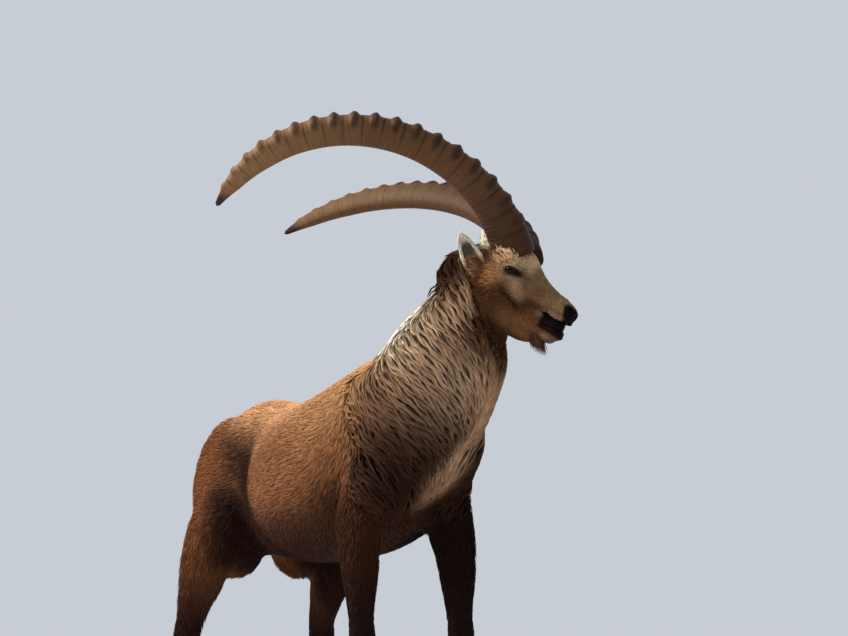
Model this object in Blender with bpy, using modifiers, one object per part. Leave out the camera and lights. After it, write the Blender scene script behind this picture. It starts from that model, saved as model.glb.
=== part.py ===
"""An adult male alpine ibex at life size, standing mid stride with its head turned to its left.

Metres, +Z up. The body faces +X, its left side is +Y, and the four feet stand on Z = 0.
"""

import math
import random

import bmesh
import bpy
import numpy as np
from mathutils import Matrix, Vector
from mathutils.bvhtree import BVHTree

# Driving sizes of the animal, in metres
WITHERS_X = 0.27
WITHERS_HEIGHT = 0.945
BODY_PITCH = math.radians(9.5)
SPINE_BEND = 0.030
POLL = Vector((0.540, 0.050, 1.141))
HEAD_YAW = math.radians(43.0)
HEAD_ROLL = math.radians(-14.0)
HEAD_PITCH = math.radians(29.5)
GAP = 0.0004
CLEARANCE = 0.00035

# The horns
HORN_BASE_APART = 0.039
HORN_BASE_FORWARD = 0.099
HORN_BASE_UP = 0.005
HORN_SUNK = 0.018
HORN_WIDTH_TO_DEPTH = 0.74
HORN_KNOBS = 18
# Depth of a horn from front to back at shares of its length
HORN_DEPTH = ((0.0, 0.095), (0.1, 0.083), (0.2, 0.076), (0.35, 0.071), (0.5, 0.069), (0.65, 0.065),
              (0.8, 0.056), (0.92, 0.038), (1.0, 0.012))
# Length, start angle, curl along the length, backward spread, outward lean, how far the tips turn in
HORN_CURVES = {
    "right": (0.836, 0.200, (3.295, -1.328, 0.298), 0.417, 0.541, 0.089),
    "left": (0.836, 0.389, (2.217, -1.339, 1.076), 0.410, 0.585, 0.105),
}

# The coat that stands out far enough to be built
NECK_COAT = 0.020
LOCK_SIDES = 3
LOCKS = True

# Where the legs stand: X of each foot, and how far each one is from the middle
FOREFOOT_APART = 0.125
HINDFOOT_APART = 0.125
CORONET_HEIGHT = 0.040
CORONET_SLOPE = math.radians(24.0)
CLAW_LENGTH = 0.072
CLAW_WIDTH = 0.030
CLAW_SPLIT = 0.004

SIDES = {"right": -1, "left": 1}

for old in list(bpy.data.objects):
    bpy.data.objects.remove(old, do_unlink=True)


def new_collection(name):
    made = bpy.data.collections.new(name)
    bpy.context.scene.collection.children.link(made)
    return made


IBEX = new_collection("alpine_ibex")
HELPERS = new_collection("shaping_pieces")
HELPERS.hide_render = True


def material(name, colour, roughness):
    """A Principled BSDF with one colour and roughness."""
    made = bpy.data.materials.new(name)
    made.use_nodes = True
    shader = made.node_tree.nodes["Principled BSDF"]
    shader.inputs["Base Color"].default_value = (*colour, 1.0)
    shader.inputs["Roughness"].default_value = roughness
    return made


COAT_BROWN = material("coat_brown", (0.27, 0.15, 0.075), 0.9)
COAT_NECK = material("coat_neck", (0.26, 0.17, 0.11), 0.9)
COAT_FACE = material("coat_face", (0.24, 0.13, 0.065), 0.85)
COAT_DARK = material("coat_dark", (0.055, 0.027, 0.016), 0.9)
COAT_EAR = material("coat_ear", (0.36, 0.26, 0.17), 0.9)
HORN = material("horn", (0.16, 0.10, 0.055), 0.6)
HOOF = material("hoof", (0.03, 0.024, 0.02), 0.45)
EYE = material("eye", (0.30, 0.15, 0.04), 0.08)


def mesh_object(name, verts, faces, collection=HELPERS):
    mesh = bpy.data.meshes.new(name)
    mesh.from_pydata([tuple(v) for v in verts], [], faces)
    made = bpy.data.objects.new(name, mesh)
    collection.objects.link(made)
    return made


def bake_modifiers(obj):
    """Replaces the object's mesh by its evaluated one, and drops the modifiers."""
    bpy.context.view_layer.update()
    graph = bpy.context.evaluated_depsgraph_get()
    mesh = bpy.data.meshes.new_from_object(obj.evaluated_get(graph))
    obj.modifiers.clear()
    obj.data = mesh
    return obj


def catmull_rom(rows, per_span):
    """A smooth curve through rows of numbers, per_span steps from each row to the next."""
    rows = np.array(rows, float)
    padded = np.vstack([2 * rows[0] - rows[1], rows, 2 * rows[-1] - rows[-2]])
    made = []
    for i in range(1, len(padded) - 2):
        before, here, there, after = padded[i - 1 : i + 3]
        for t in np.linspace(0, 1, per_span, endpoint=False):
            made.append(
                0.5 * (2 * here + (there - before) * t
                       + (2 * before - 5 * here + 4 * there - after) * t ** 2
                       + (3 * here - before - 3 * there + after) * t ** 3)
            )
    made.append(rows[-1])
    return np.array(made)


def ring_frames(centres, up):
    """For each centre of a tube: its forward, sideways and up directions."""
    forward = np.gradient(centres, axis=0)
    forward /= np.linalg.norm(forward, axis=1, keepdims=True)
    side = np.cross(np.array(up, float), forward)
    side /= np.linalg.norm(side, axis=1, keepdims=True)
    return forward, side, np.cross(forward, side)


def ring_point(row, side, over, angle, squareness=2.0):
    """A point at that angle of an oval whose upper and lower halves differ in height."""
    bow = 2.0 / squareness
    across = math.copysign(abs(math.cos(angle)) ** bow, math.cos(angle))
    upward = math.copysign(abs(math.sin(angle)) ** bow, math.sin(angle))
    height = row[4] if upward > 0 else row[5]
    return row[:3] + side * across * row[3] + over * upward * height


def loft(name, stations, up, sides=20, per_span=4, squareness=2.0):
    """A closed tube through stations of (x, y, z, half width, height over, height under)."""
    rows = catmull_rom(stations, per_span)
    _, side, over = ring_frames(rows[:, :3], up)
    verts = [
        ring_point(row, side[i], over[i], 2 * math.pi * j / sides, squareness)
        for i, row in enumerate(rows)
        for j in range(sides)
    ]
    faces = [
        (i * sides + j, i * sides + (j + 1) % sides,
         (i + 1) * sides + (j + 1) % sides, (i + 1) * sides + j)
        for i in range(len(rows) - 1)
        for j in range(sides)
    ]
    faces.append(tuple(reversed(range(sides))))
    faces.append(tuple(range((len(rows) - 1) * sides, len(rows) * sides)))
    made = mesh_object(name, verts, faces)
    face_outwards(made)
    return made


def face_outwards(obj):
    shape = bmesh.new()
    shape.from_mesh(obj.data)
    bmesh.ops.recalc_face_normals(shape, faces=shape.faces)
    if shape.calc_volume(signed=True) < 0:
        bmesh.ops.reverse_faces(shape, faces=shape.faces)
    shape.to_mesh(obj.data)
    shape.free()


def ellipsoid(name, centre, radii, turn=(0.0, 0.0, 0.0), segments=24, rings=14):
    shape = bmesh.new()
    bmesh.ops.create_uvsphere(shape, u_segments=segments, v_segments=rings, radius=1.0)
    turned = Matrix.Rotation(turn[2], 4, "Z") @ Matrix.Rotation(turn[1], 4, "Y")
    turned = turned @ Matrix.Rotation(turn[0], 4, "X")
    shape.transform(Matrix.Translation(centre) @ turned @ Matrix.Diagonal((*radii, 1.0)))
    mesh = bpy.data.meshes.new(name)
    shape.to_mesh(mesh)
    shape.free()
    made = bpy.data.objects.new(name, mesh)
    HELPERS.objects.link(made)
    return made


def box(name, low, high, matrix=None):
    """A box between two corners, in the frame that the matrix gives."""
    shape = bmesh.new()
    bmesh.ops.create_cube(shape, size=1.0)
    low, high = Vector(low), Vector(high)
    size = high - low
    shape.transform(Matrix.Translation((low + high) / 2) @ Matrix.Diagonal((*size, 1.0)))
    if matrix is not None:
        shape.transform(matrix)
    mesh = bpy.data.meshes.new(name)
    shape.to_mesh(mesh)
    shape.free()
    made = bpy.data.objects.new(name, mesh)
    HELPERS.objects.link(made)
    return made


def moved(obj, matrix):
    obj.data.transform(matrix)
    if matrix.determinant() < 0:
        obj.data.flip_normals()
    return obj


def joined(name, pieces):
    """Several overlapping closed meshes in one object, ready to be fused."""
    shape = bmesh.new()
    for piece in pieces:
        shape.from_mesh(piece.data)
        bpy.data.objects.remove(piece)
    mesh = bpy.data.meshes.new(name)
    shape.to_mesh(mesh)
    shape.free()
    made = bpy.data.objects.new(name, mesh)
    HELPERS.objects.link(made)
    return made


def fused(name, pieces, voxel, smoothing):
    """One smooth skin round overlapping masses."""
    made = joined(name, pieces)
    remesh = made.modifiers.new("one_skin", "REMESH")
    remesh.mode = "VOXEL"
    remesh.voxel_size = voxel
    bake_modifiers(made)
    return softened(made, smoothing)


def softened(obj, smoothing, weight=None):
    """Smooths a skin, everywhere or as much as the weight of each point says."""
    smooth = obj.modifiers.new("soften", "SMOOTH")
    smooth.factor = 0.5
    smooth.iterations = smoothing
    if weight is not None:
        group = obj.vertex_groups.new(name="soften")
        for vertex in obj.data.vertices:
            group.add([vertex.index], weight(vertex.co), "REPLACE")
        smooth.vertex_group = "soften"
    return bake_modifiers(obj)


def thinned(obj, triangles):
    """Thins a skin out to about that many triangles."""
    thin = obj.modifiers.new("thin_out", "DECIMATE")
    thin.ratio = triangles / (2 * len(obj.data.polygons))
    return bake_modifiers(obj)


def boolean(obj, other, operation, solver="EXACT"):
    """Cuts, keeps or adds another object, or a whole collection of them, for good."""
    cut = obj.modifiers.new(operation.lower(), "BOOLEAN")
    cut.operation = operation
    cut.solver = solver
    if isinstance(other, bpy.types.Collection):
        cut.operand_type = "COLLECTION"
        cut.collection = other
    else:
        cut.object = other
    bake_modifiers(obj)
    return keep_largest(obj)


def keep_largest(obj):
    """Keeps only the largest closed surface of the mesh."""
    shape = bmesh.new()
    shape.from_mesh(obj.data)
    bmesh.ops.remove_doubles(shape, verts=shape.verts, dist=1e-8)
    unseen = set(shape.faces)
    surfaces = []
    while unseen:
        surface = {unseen.pop()}
        rim = set(surface)
        while rim:
            near = {f for face in rim for edge in face.edges for f in edge.link_faces}
            rim = near - surface
            surface |= rim
        unseen -= surface
        surfaces.append(surface)
    largest = max(surfaces, key=len)
    spare = [face for face in shape.faces if face not in largest]
    bmesh.ops.delete(shape, geom=spare, context="FACES")
    shape.to_mesh(obj.data)
    shape.free()
    return obj


def copy_of(obj, name):
    made = bpy.data.objects.new(name, obj.data.copy())
    HELPERS.objects.link(made)
    return made


def node(obj, name, finish):
    """Turns a finished shape into a named part of the animal."""
    for collection in list(obj.users_collection):
        collection.objects.unlink(obj)
    IBEX.objects.link(obj)
    obj.name = name
    obj.data.name = name
    obj.data.materials.clear()
    obj.data.materials.append(finish)
    for polygon in obj.data.polygons:
        polygon.use_smooth = True
    obj.data.set_sharp_from_angle(angle=math.radians(40))
    return obj


def grown(obj, distance):
    """A copy of the object swollen by the distance along its own normals."""
    made = copy_of(obj, "grown")
    swell = made.modifiers.new("swell", "DISPLACE")
    swell.strength = distance
    swell.mid_level = 0.0
    return bake_modifiers(made)


def split_off(source, cutter, name):
    """Takes the part of the source inside a cutter away from it, with a thin gap between."""
    taken = boolean(copy_of(source, name), cutter, "INTERSECT")
    wider = grown(cutter, 2 * GAP)
    boolean(source, wider, "DIFFERENCE")
    bpy.data.objects.remove(wider)
    bpy.data.objects.remove(cutter)
    return taken


def prism(name, outline, low_y, high_y):
    """A cutter with its outline given in X and Z, reaching from one Y to another."""
    count = len(outline)
    verts = [(x, y, z) for y in (low_y, high_y) for x, z in outline]
    faces = [tuple(range(count)), tuple(range(count, 2 * count))]
    faces.extend((j, (j + 1) % count, count + (j + 1) % count, count + j) for j in range(count))
    made = mesh_object(name, verts, faces)
    face_outwards(made)
    return made


def plane_frame(point, normal, sideways):
    """A frame at the point with its Z along the normal and its Y level with the cut."""
    up = Vector(normal).normalized()
    along = Vector(sideways).cross(up).normalized()
    across = up.cross(along)
    frame = Matrix((along, across, up)).transposed().to_4x4()
    frame.translation = Vector(point)
    return frame


# The trunk is drawn level, then pitched about the withers: the animal is climbing

def pitched(x, z):
    """Where a point of the level trunk goes once the forehand is raised."""
    back, down = x - WITHERS_X, z - WITHERS_HEIGHT
    return (
        WITHERS_X + back * math.cos(BODY_PITCH) - down * math.sin(BODY_PITCH),
        WITHERS_HEIGHT + back * math.sin(BODY_PITCH) + down * math.cos(BODY_PITCH),
    )


def spine_y(x):
    """The spine bends to the left behind the ribs, as it does in a turning stride."""
    return SPINE_BEND * max(0.0, -x / 0.45) ** 2


# X, back line, belly line and half width of the level trunk
TRUNK = [
    (-0.560, 0.830, 0.700, 0.045),
    (-0.530, 0.874, 0.640, 0.098),
    (-0.450, 0.930, 0.600, 0.132),
    (-0.340, 0.950, 0.585, 0.136),
    (-0.230, 0.922, 0.560, 0.138),
    (-0.110, 0.905, 0.528, 0.186),
    (0.010, 0.900, 0.512, 0.214),
    (0.120, 0.912, 0.512, 0.200),
    (0.210, 0.930, 0.525, 0.172),
    (0.280, 0.938, 0.545, 0.154),
    (0.350, 0.905, 0.580, 0.142),
    (0.420, 0.860, 0.635, 0.118),
    (0.462, 0.800, 0.690, 0.060),
]


def trunk_pieces():
    """Rib cage, belly and pelvis in one tube, with the muscle masses that stand out on it."""
    stations = []
    for x, back, belly, half_width in TRUNK:
        middle = belly + 0.44 * (back - belly)
        px, pz = pitched(x, middle)
        stations.append((px, spine_y(x), pz, half_width, back - middle, middle - belly))
    made = [loft("trunk", stations, (0, 0, 1), sides=28)]
    for sign in SIDES.values():
        made.extend(trunk_masses(sign))
    return made


def trunk_masses(sign):
    """Shoulder blade, upper arm, haunch and hip point of one side, in the level trunk."""
    masses = {
        "shoulder_blade": ((0.255, 0.088, 0.750), (0.095, 0.070, 0.150), 14),
        "upper_arm": ((0.315, 0.104, 0.625), (0.092, 0.062, 0.095), 0),
        "haunch": ((-0.385, 0.085, 0.730), (0.155, 0.085, 0.190), 14),
        "hip_point": ((-0.295, 0.066, 0.862), (0.100, 0.060, 0.055), 0),
        "seat_bone": ((-0.500, 0.066, 0.735), (0.062, 0.060, 0.110), 0),
    }
    if sign > 0:
        masses["shoulder_blade"] = ((0.245, 0.074, 0.750), (0.090, 0.066, 0.150), 14)
        masses["upper_arm"] = ((0.295, 0.070, 0.625), (0.078, 0.054, 0.095), 0)
    made = []
    for name, (centre, radii, lean) in masses.items():
        x, z = pitched(centre[0], centre[2])
        y = spine_y(centre[0]) + sign * centre[1]
        turn = (0.0, math.radians(lean) - BODY_PITCH, 0.0)
        made.append(ellipsoid(name, (x, y, z), radii, turn))
    return made


# Middle of the neck with its half width and heights over and under, tips of the coat included
NECK = [
    (0.290, 0.000, 0.770, 0.148, 0.150, 0.165),
    (0.390, 0.000, 0.835, 0.156, 0.150, 0.186),
    (0.465, 0.014, 0.925, 0.138, 0.128, 0.174),
    (0.520, 0.040, 1.010, 0.113, 0.100, 0.134),
    (0.558, 0.066, 1.070, 0.092, 0.078, 0.108),
    (0.588, 0.094, 1.088, 0.078, 0.062, 0.086),
]


def neck_core():
    """The flesh and close wool of the neck, under the locks."""
    rows = [(*row[:3], *(size - NECK_COAT for size in row[3:])) for row in NECK]
    return rows


# Legs: X, offset outwards, Z, half width, forward and backward depth of each ring
FORELEG = [
    (0.350, 0.105, 0.640, 0.058, 0.075, 0.085),
    (0.352, 0.122, 0.560, 0.054, 0.062, 0.070),
    (0.360, 0.130, 0.500, 0.047, 0.050, 0.054),
    (0.366, 0.130, 0.430, 0.041, 0.043, 0.043),
    (0.370, 0.128, 0.350, 0.032, 0.033, 0.031),
    (0.374, 0.127, 0.300, 0.033, 0.036, 0.030),
    (0.372, 0.126, 0.265, 0.027, 0.029, 0.027),
    (0.372, 0.125, 0.190, 0.022, 0.022, 0.024),
    (0.374, 0.125, 0.120, 0.026, 0.025, 0.029),
    (0.386, 0.125, 0.080, 0.026, 0.025, 0.026),
    (0.400, 0.125, 0.045, 0.030, 0.033, 0.030),
    (0.406, 0.125, 0.015, 0.030, 0.033, 0.030),
]
HINDLEG = [
    (-0.300, 0.085, 0.680, 0.070, 0.100, 0.150),
    (-0.300, 0.108, 0.600, 0.066, 0.098, 0.128),
    (-0.318, 0.130, 0.530, 0.060, 0.085, 0.118),
    (-0.358, 0.136, 0.460, 0.050, 0.068, 0.090),
    (-0.412, 0.132, 0.395, 0.038, 0.048, 0.060),
    (-0.452, 0.127, 0.345, 0.031, 0.036, 0.044),
    (-0.470, 0.126, 0.305, 0.031, 0.033, 0.042),
    (-0.472, 0.125, 0.255, 0.027, 0.029, 0.031),
    (-0.472, 0.125, 0.190, 0.023, 0.025, 0.026),
    (-0.474, 0.125, 0.125, 0.027, 0.027, 0.030),
    (-0.462, 0.125, 0.085, 0.027, 0.027, 0.027),
    (-0.446, 0.125, 0.045, 0.031, 0.034, 0.031),
    (-0.440, 0.125, 0.015, 0.031, 0.034, 0.031),
]
# How far forward and outwards each foot is set from the leg as drawn: the ibex walks
STRIDE = {
    ("fore", "right"): (-0.015, 0.0),
    ("fore", "left"): (0.030, -0.028),
    ("hind", "right"): (-0.050, 0.0),
    ("hind", "left"): (0.140, 0.0),
}


def leg_stations(pair, side):
    """A leg's rings: the stride grows from none at the top to all of it at the foot."""
    rows = FORELEG if pair == "fore" else HINDLEG
    top = rows[0][2]
    made = []
    for x, out, z, half_width, front, back in rows:
        forward, outward = STRIDE[pair, side]
        swing = forward * min(1.0, (top - z) / (top - 0.30))
        y = SIDES[side] * (out + outward) + spine_y(x)
        made.append((x + swing, y, z, half_width, front, back))
    return made


def leg(pair, side):
    stations = leg_stations(pair, side)
    return loft(f"{pair}leg_{side}", stations, (1, 0, 0), sides=18)


# The head is drawn lying along its own X from the poll to the nose, in centimetres
CM = 0.01
HEAD_FRAME = (
    Matrix.Translation(POLL)
    @ Matrix.Rotation(HEAD_YAW, 4, "Z")
    @ Matrix.Rotation(HEAD_ROLL, 4, "X")
)
FACE_FRAME = HEAD_FRAME @ Matrix.Rotation(HEAD_PITCH, 4, "Y")

# Along the head: middle height, half width, top and bottom of the skull and upper jaw
SKULL = [
    (-4.0, -7.6, 2.6, -6.6, -9.6),
    (-2.5, -6.4, 4.2, -3.6, -10.2),
    (-0.5, -4.8, 5.5, -0.4, -10.4),
    (3.0, -3.2, 6.5, 3.2, -9.8),
    (7.0, -1.5, 6.4, 5.8, -8.8),
    (10.5, -0.4, 5.9, 7.3, -7.6),
    (12.8, 0.0, 5.3, 6.9, -6.4),
    (14.8, 0.0, 4.7, 5.3, -5.6),
    (17.0, -0.2, 4.1, 3.9, -4.9),
    (19.6, -0.5, 3.5, 2.9, -4.2),
    (22.5, -0.8, 3.1, 2.2, -3.3),
    (25.0, -0.8, 3.0, 1.9, -2.9),
    (27.0, -1.0, 2.6, 1.3, -2.9),
    (28.5, -1.3, 1.5, 0.2, -2.4),
]
LOWER_JAW = [
    (0.0, -8.0, 3.6, -5.0, -11.2),
    (6.0, -8.0, 4.7, -4.0, -12.0),
    (12.0, -8.0, 4.2, -3.6, -11.9),
    (16.0, -7.6, 3.4, -3.8, -11.1),
    (19.0, -7.3, 2.8, -4.2, -10.3),
    (21.5, -6.9, 2.4, -4.9, -9.3),
    (24.0, -6.7, 2.2, -5.1, -8.6),
    (26.4, -6.1, 2.0, -4.8, -7.9),
    (28.3, -5.6, 1.2, -4.5, -6.8),
]
# Centre and radii of the solid forms of the head, mirrored where they have a width
HEAD_MASSES = {
    "horn_seat": ((6.8, 3.5, 4.2), (5.6, 3.5, 3.2)),
    "ear_seat": ((4.9, 5.3, -3.2), (2.1, 1.7, 2.1)),
    "upper_lip": ((25.4, 1.5, -2.5), (3.0, 1.3, 1.0)),
    "chin": ((24.8, 0.8, -7.5), (2.3, 1.3, 1.3)),
}
# Centre, radius and height of the soft forms, in centimetres; a hollow has a negative height
HEAD_FORMS = {
    "chewing_muscle": ((9.5, 5.0, -6.8), 3.6, 0.70),
    "brow": ((11.2, 5.8, 3.2), 2.0, 0.75),
    "temple": ((5.5, 6.6, -0.8), 2.2, -0.40),
    "cheekbone": ((15.0, 4.6, -2.2), 2.2, 0.50),
    "tear_hollow": ((15.2, 4.6, 0.6), 1.3, -0.45),
    "jaw_hollow": ((17.0, 3.9, -5.6), 1.7, -0.45),
    "nose_side": ((21.0, 3.2, 0.2), 2.2, -0.30),
    "nose_wing": ((26.3, 2.6, 0.2), 1.2, 0.40),
    "lip_corner": ((20.4, 3.0, -4.9), 1.2, 0.35),
    "throat": ((2.0, 3.0, -11.0), 3.0, 0.3),
}
EYE_CENTRE = (11.7, 4.50, 0.6)
EYE_RADIUS = 1.55
EYE_TILT = 0.28
LID_THICKNESS = 0.30
EYE_OPENING = (1.80, 0.85)
NOSTRIL = ((27.2, 2.5, 0.1), (1.15, 0.75, 0.40))
EAR_ROOT = (5.2, 5.9, -2.9)
EAR_LENGTH = 9.2
EAR_LIE = (-0.54, 0.71, 0.45)
EAR_MOUTH = (0.70, 0.70, -0.20)


def head_stations(rows):
    return [
        (CM * u, 0.0, CM * middle, CM * half, CM * (top - middle), CM * (middle - bottom))
        for u, middle, half, top, bottom in rows
    ]


def head_pieces():
    """Skull, jaws and the solid forms on them, in the frame of the face."""
    made = [
        loft("skull", head_stations(SKULL), (0, 0, 1), sides=24, squareness=2.2),
        loft("lower_jaw", head_stations(LOWER_JAW), (0, 0, 1), sides=20, squareness=2.2),
    ]
    for name, (centre, radii) in HEAD_MASSES.items():
        for sign in SIDES.values():
            place = Vector((centre[0], sign * centre[1], centre[2])) * CM
            made.append(ellipsoid(name, place, [CM * r for r in radii]))
    return made


def shape_face(obj):
    """Raises and hollows the soft forms of the face along the skin's own normals."""
    count = len(obj.data.vertices)
    points = np.array([v.co for v in obj.data.vertices])
    normals = np.array([v.normal for v in obj.data.vertices])
    push = np.zeros(count)
    for centre, radius, height in HEAD_FORMS.values():
        for sign in SIDES.values():
            place = np.array((centre[0], sign * centre[1], centre[2])) * CM
            near = ((points - place) ** 2).sum(1) / (radius * CM) ** 2
            share = 1.0 if centre[1] else 0.5
            push += share * height * CM * np.exp(-near)
    for vertex, point in zip(obj.data.vertices, points + normals * push[:, None]):
        vertex.co = point


def eye_place(sign):
    return Vector((EYE_CENTRE[0], sign * EYE_CENTRE[1], EYE_CENTRE[2])) * CM


def lid_dome(sign):
    """The two lids as one dome over the eyeball, before the opening is cut."""
    radius = (EYE_RADIUS + LID_THICKNESS) * CM
    size = (radius * 1.12, radius, radius)
    return ellipsoid("lid_dome", eye_place(sign), size, (0, EYE_TILT, 0), 18, 12)


def eye_opening(sign):
    """The almond between the lids, as a cutter that reaches outwards from the eyeball."""
    count = 16
    verts = []
    for out in (0.9, 3.0):
        for j in range(count):
            turn = 2 * math.pi * j / count
            along = EYE_OPENING[0] * math.cos(turn)
            high = EYE_OPENING[1] * math.copysign(abs(math.sin(turn)) ** 1.3, math.sin(turn))
            spread = 0.75 + 0.25 * out / 1.7
            verts.append(Vector((along * spread, out * sign, high * spread)) * CM)
    faces = [tuple(range(count)), tuple(range(count, 2 * count))]
    faces.extend((j, (j + 1) % count, count + (j + 1) % count, count + j) for j in range(count))
    made = mesh_object("eye_opening", verts, faces)
    face_outwards(made)
    place = Matrix.Translation(eye_place(sign)) @ Matrix.Rotation(EYE_TILT, 4, "Y")
    return moved(made, place)


def nostril(sign):
    place = Vector((NOSTRIL[0][0], sign * NOSTRIL[0][1], NOSTRIL[0][2])) * CM
    turn = (0, 0.45, sign * -0.55)
    return ellipsoid("nostril", place, [CM * r for r in NOSTRIL[1]], turn, 12, 8)


def horn_shares():
    """The shares of the length at which a horn has a ring: four to each knob."""
    pitch = 0.94 / HORN_KNOBS
    shares = [0.0]
    for k in range(HORN_KNOBS):
        middle = 0.035 + pitch * (k + 0.5)
        shares.extend(middle + pitch * part for part in (-0.30, -0.12, 0.10, 0.26))
    return np.array(shares + [0.985, 1.0])


def knob_height(index):
    """Height of each ring above the plain horn: none at the foot of a knob, all of it on top."""
    if index < 1 or index > 4 * HORN_KNOBS:
        return 0.0
    knob, part = divmod(index - 1, 4)
    middle = (knob + 0.5) / HORN_KNOBS
    return (0.004 + 0.006 * math.sin(math.pi * middle ** 0.8)) * (0.0, 1.0, 0.85, 0.0)[part]


def horn_line(side, shares):
    """The middle of a horn at each share of its length, in the frame of the head."""
    length, start, curl, spread, lean, inward = HORN_CURVES[side]
    fine = np.linspace(0, 1, 400)
    angle = start + sum(c * fine ** (k + 1) for k, c in enumerate(curl))
    step = length / 399
    back = np.concatenate([[0], np.cumsum(np.sin((angle[1:] + angle[:-1]) / 2) * step)])
    rise = np.concatenate([[0], np.cumsum(np.cos((angle[1:] + angle[:-1]) / 2) * step)])
    out = (HORN_BASE_APART + back * math.sin(spread) + rise * math.sin(lean)
           - inward * fine ** 2)
    ahead = HORN_BASE_FORWARD - back * math.cos(spread)
    up = HORN_BASE_UP + rise * math.cos(lean)
    points = np.stack([ahead, SIDES[side] * out, up], 1)
    return np.stack([np.interp(shares, fine, points[:, k]) for k in range(3)], 1)


def horn(side, swell=0.0, sides=10):
    """A horn with its knobs; swell makes the slightly larger shape that cuts its socket."""
    shares = horn_shares()
    points = horn_line(side, shares)
    sunk = points[0] - (points[1] - points[0]) / np.linalg.norm(points[1] - points[0]) * HORN_SUNK
    points = np.vstack([sunk, points])
    shares = np.concatenate([[0.0], shares])
    forward = np.gradient(points, axis=0)
    forward /= np.linalg.norm(forward, axis=1, keepdims=True)
    inward = forward[-8] - forward[4]
    verts = []
    for i, point in enumerate(points):
        ahead = -inward + forward[i] * inward.dot(forward[i])
        ahead /= np.linalg.norm(ahead)
        across = np.cross(forward[i], ahead)
        depth = np.interp(shares[i], *zip(*HORN_DEPTH)) / 2
        width = depth * HORN_WIDTH_TO_DEPTH
        knob = knob_height(i - 1)
        for j in range(sides):
            angle = 2 * math.pi * (j + 0.5) / sides
            front = math.sin(angle)
            narrowing = 0.76 + 0.24 * min(1.0, 1.0 + front)
            wide = math.copysign(abs(math.cos(angle)) ** 0.75, math.cos(angle)) * width * narrowing
            deep = math.copysign(abs(front) ** 0.85, front) * depth
            raised = knob * min(1.0, max(0.0, (front + 0.1) / 0.6))
            grow = 1.0 + (swell + raised * 0.25) / math.hypot(wide, deep)
            verts.append(point + across * wide * grow + ahead * (deep * grow + raised))
    count = len(points)
    faces = [
        (i * sides + j, i * sides + (j + 1) % sides,
         (i + 1) * sides + (j + 1) % sides, (i + 1) * sides + j)
        for i in range(count - 1)
        for j in range(sides)
    ]
    tip = len(verts)
    verts.append(points[-1] + forward[-1] * (0.006 + swell))
    faces.extend(((count - 1) * sides + j, (count - 1) * sides + (j + 1) % sides, tip)
                 for j in range(sides))
    root = len(verts)
    verts.append(points[0] - forward[0] * swell)
    faces.extend(((j + 1) % sides, j, root) for j in range(sides))
    made = mesh_object(f"horn_{side}", verts, faces)
    face_outwards(made)
    return moved(made, HEAD_FRAME)


def ear(side, around=9, along=8):
    """A pointed cup, open towards the front and outwards, its root sunk in the head."""
    sign = SIDES[side]
    lie = Vector((EAR_LIE[0], sign * EAR_LIE[1], EAR_LIE[2])).normalized()
    mouth = Vector((EAR_MOUTH[0], sign * EAR_MOUTH[1], EAR_MOUTH[2]))
    mouth = (mouth - lie * mouth.dot(lie)).normalized()
    across = lie.cross(mouth)
    root = Vector((EAR_ROOT[0], sign * EAR_ROOT[1], EAR_ROOT[2]))
    verts = []
    for i in range(along):
        share = i / (along - 1)
        width = 2.3 * math.sin(math.pi * (0.22 + 0.78 * share) ** 0.9) ** 0.75 + 0.15
        wrap = math.radians(115 - 45 * share)
        curl = mouth * (-0.8 * math.sin(math.pi * share * 0.8))
        centre = root + lie * (EAR_LENGTH * (share * 1.15 - 0.15)) + curl
        for j in range(around):
            turn = wrap * (2 * j / (around - 1) - 1)
            verts.append(centre + across * (width * math.sin(turn) / math.sin(min(wrap, 1.57)))
                         - mouth * (width * 0.75 * math.cos(turn)))
    faces = [
        (i * around + j, i * around + j + 1, (i + 1) * around + j + 1, (i + 1) * around + j)
        for i in range(along - 1)
        for j in range(around - 1)
    ]
    made = mesh_object(f"ear_{side}", [v * CM for v in verts], faces)
    shell = made.modifiers.new("thickness", "SOLIDIFY")
    shell.thickness = 0.30 * CM
    shell.offset = 0.0
    bake_modifiers(made)
    face_outwards(made)
    return moved(made, FACE_FRAME)


def claw(pair, side, inner):
    """One of the two toes of a foot: a flat sole, a pointed toe and a sloping top."""
    rows = leg_stations(pair, side)
    ankle_x, ankle_y = rows[-2][0], rows[-2][1]
    outward = SIDES[side] * (-1 if inner else 1)
    outline = []
    for x, width in [(-0.44, 0.55), (-0.36, 0.86), (-0.10, 1.0), (0.20, 0.92), (0.42, 0.62),
                     (0.56, 0.20)]:
        outline.append((x * CLAW_LENGTH, CLAW_SPLIT / 2 + width * CLAW_WIDTH))
    inside = [(x, CLAW_SPLIT / 2 + 0.001) for x, _ in reversed(outline)]
    inside[0] = (0.55 * CLAW_LENGTH, CLAW_SPLIT / 2 + 0.002)
    outline.extend(inside)
    slope = math.tan(CORONET_SLOPE)
    verts = []
    for level in (0.0, 0.5, 1.0):
        for x, y in outline:
            lean = 1.0 - 0.20 * level
            px = x * lean - 0.010 * level
            py = CLAW_SPLIT / 2 + (y - CLAW_SPLIT / 2) * (1.0 - 0.10 * level)
            top = CORONET_HEIGHT + px * slope - GAP
            verts.append((ankle_x + 0.004 + px, ankle_y + outward * py, level * top))
    count = len(outline)
    faces = [
        (i * count + j, i * count + (j + 1) % count,
         (i + 1) * count + (j + 1) % count, (i + 1) * count + j)
        for i in range(2)
        for j in range(count)
    ]
    faces.append(tuple(range(count)))
    faces.append(tuple(range(2 * count, 3 * count)))
    made = mesh_object("claw", verts, faces)
    face_outwards(made)
    return made


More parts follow.
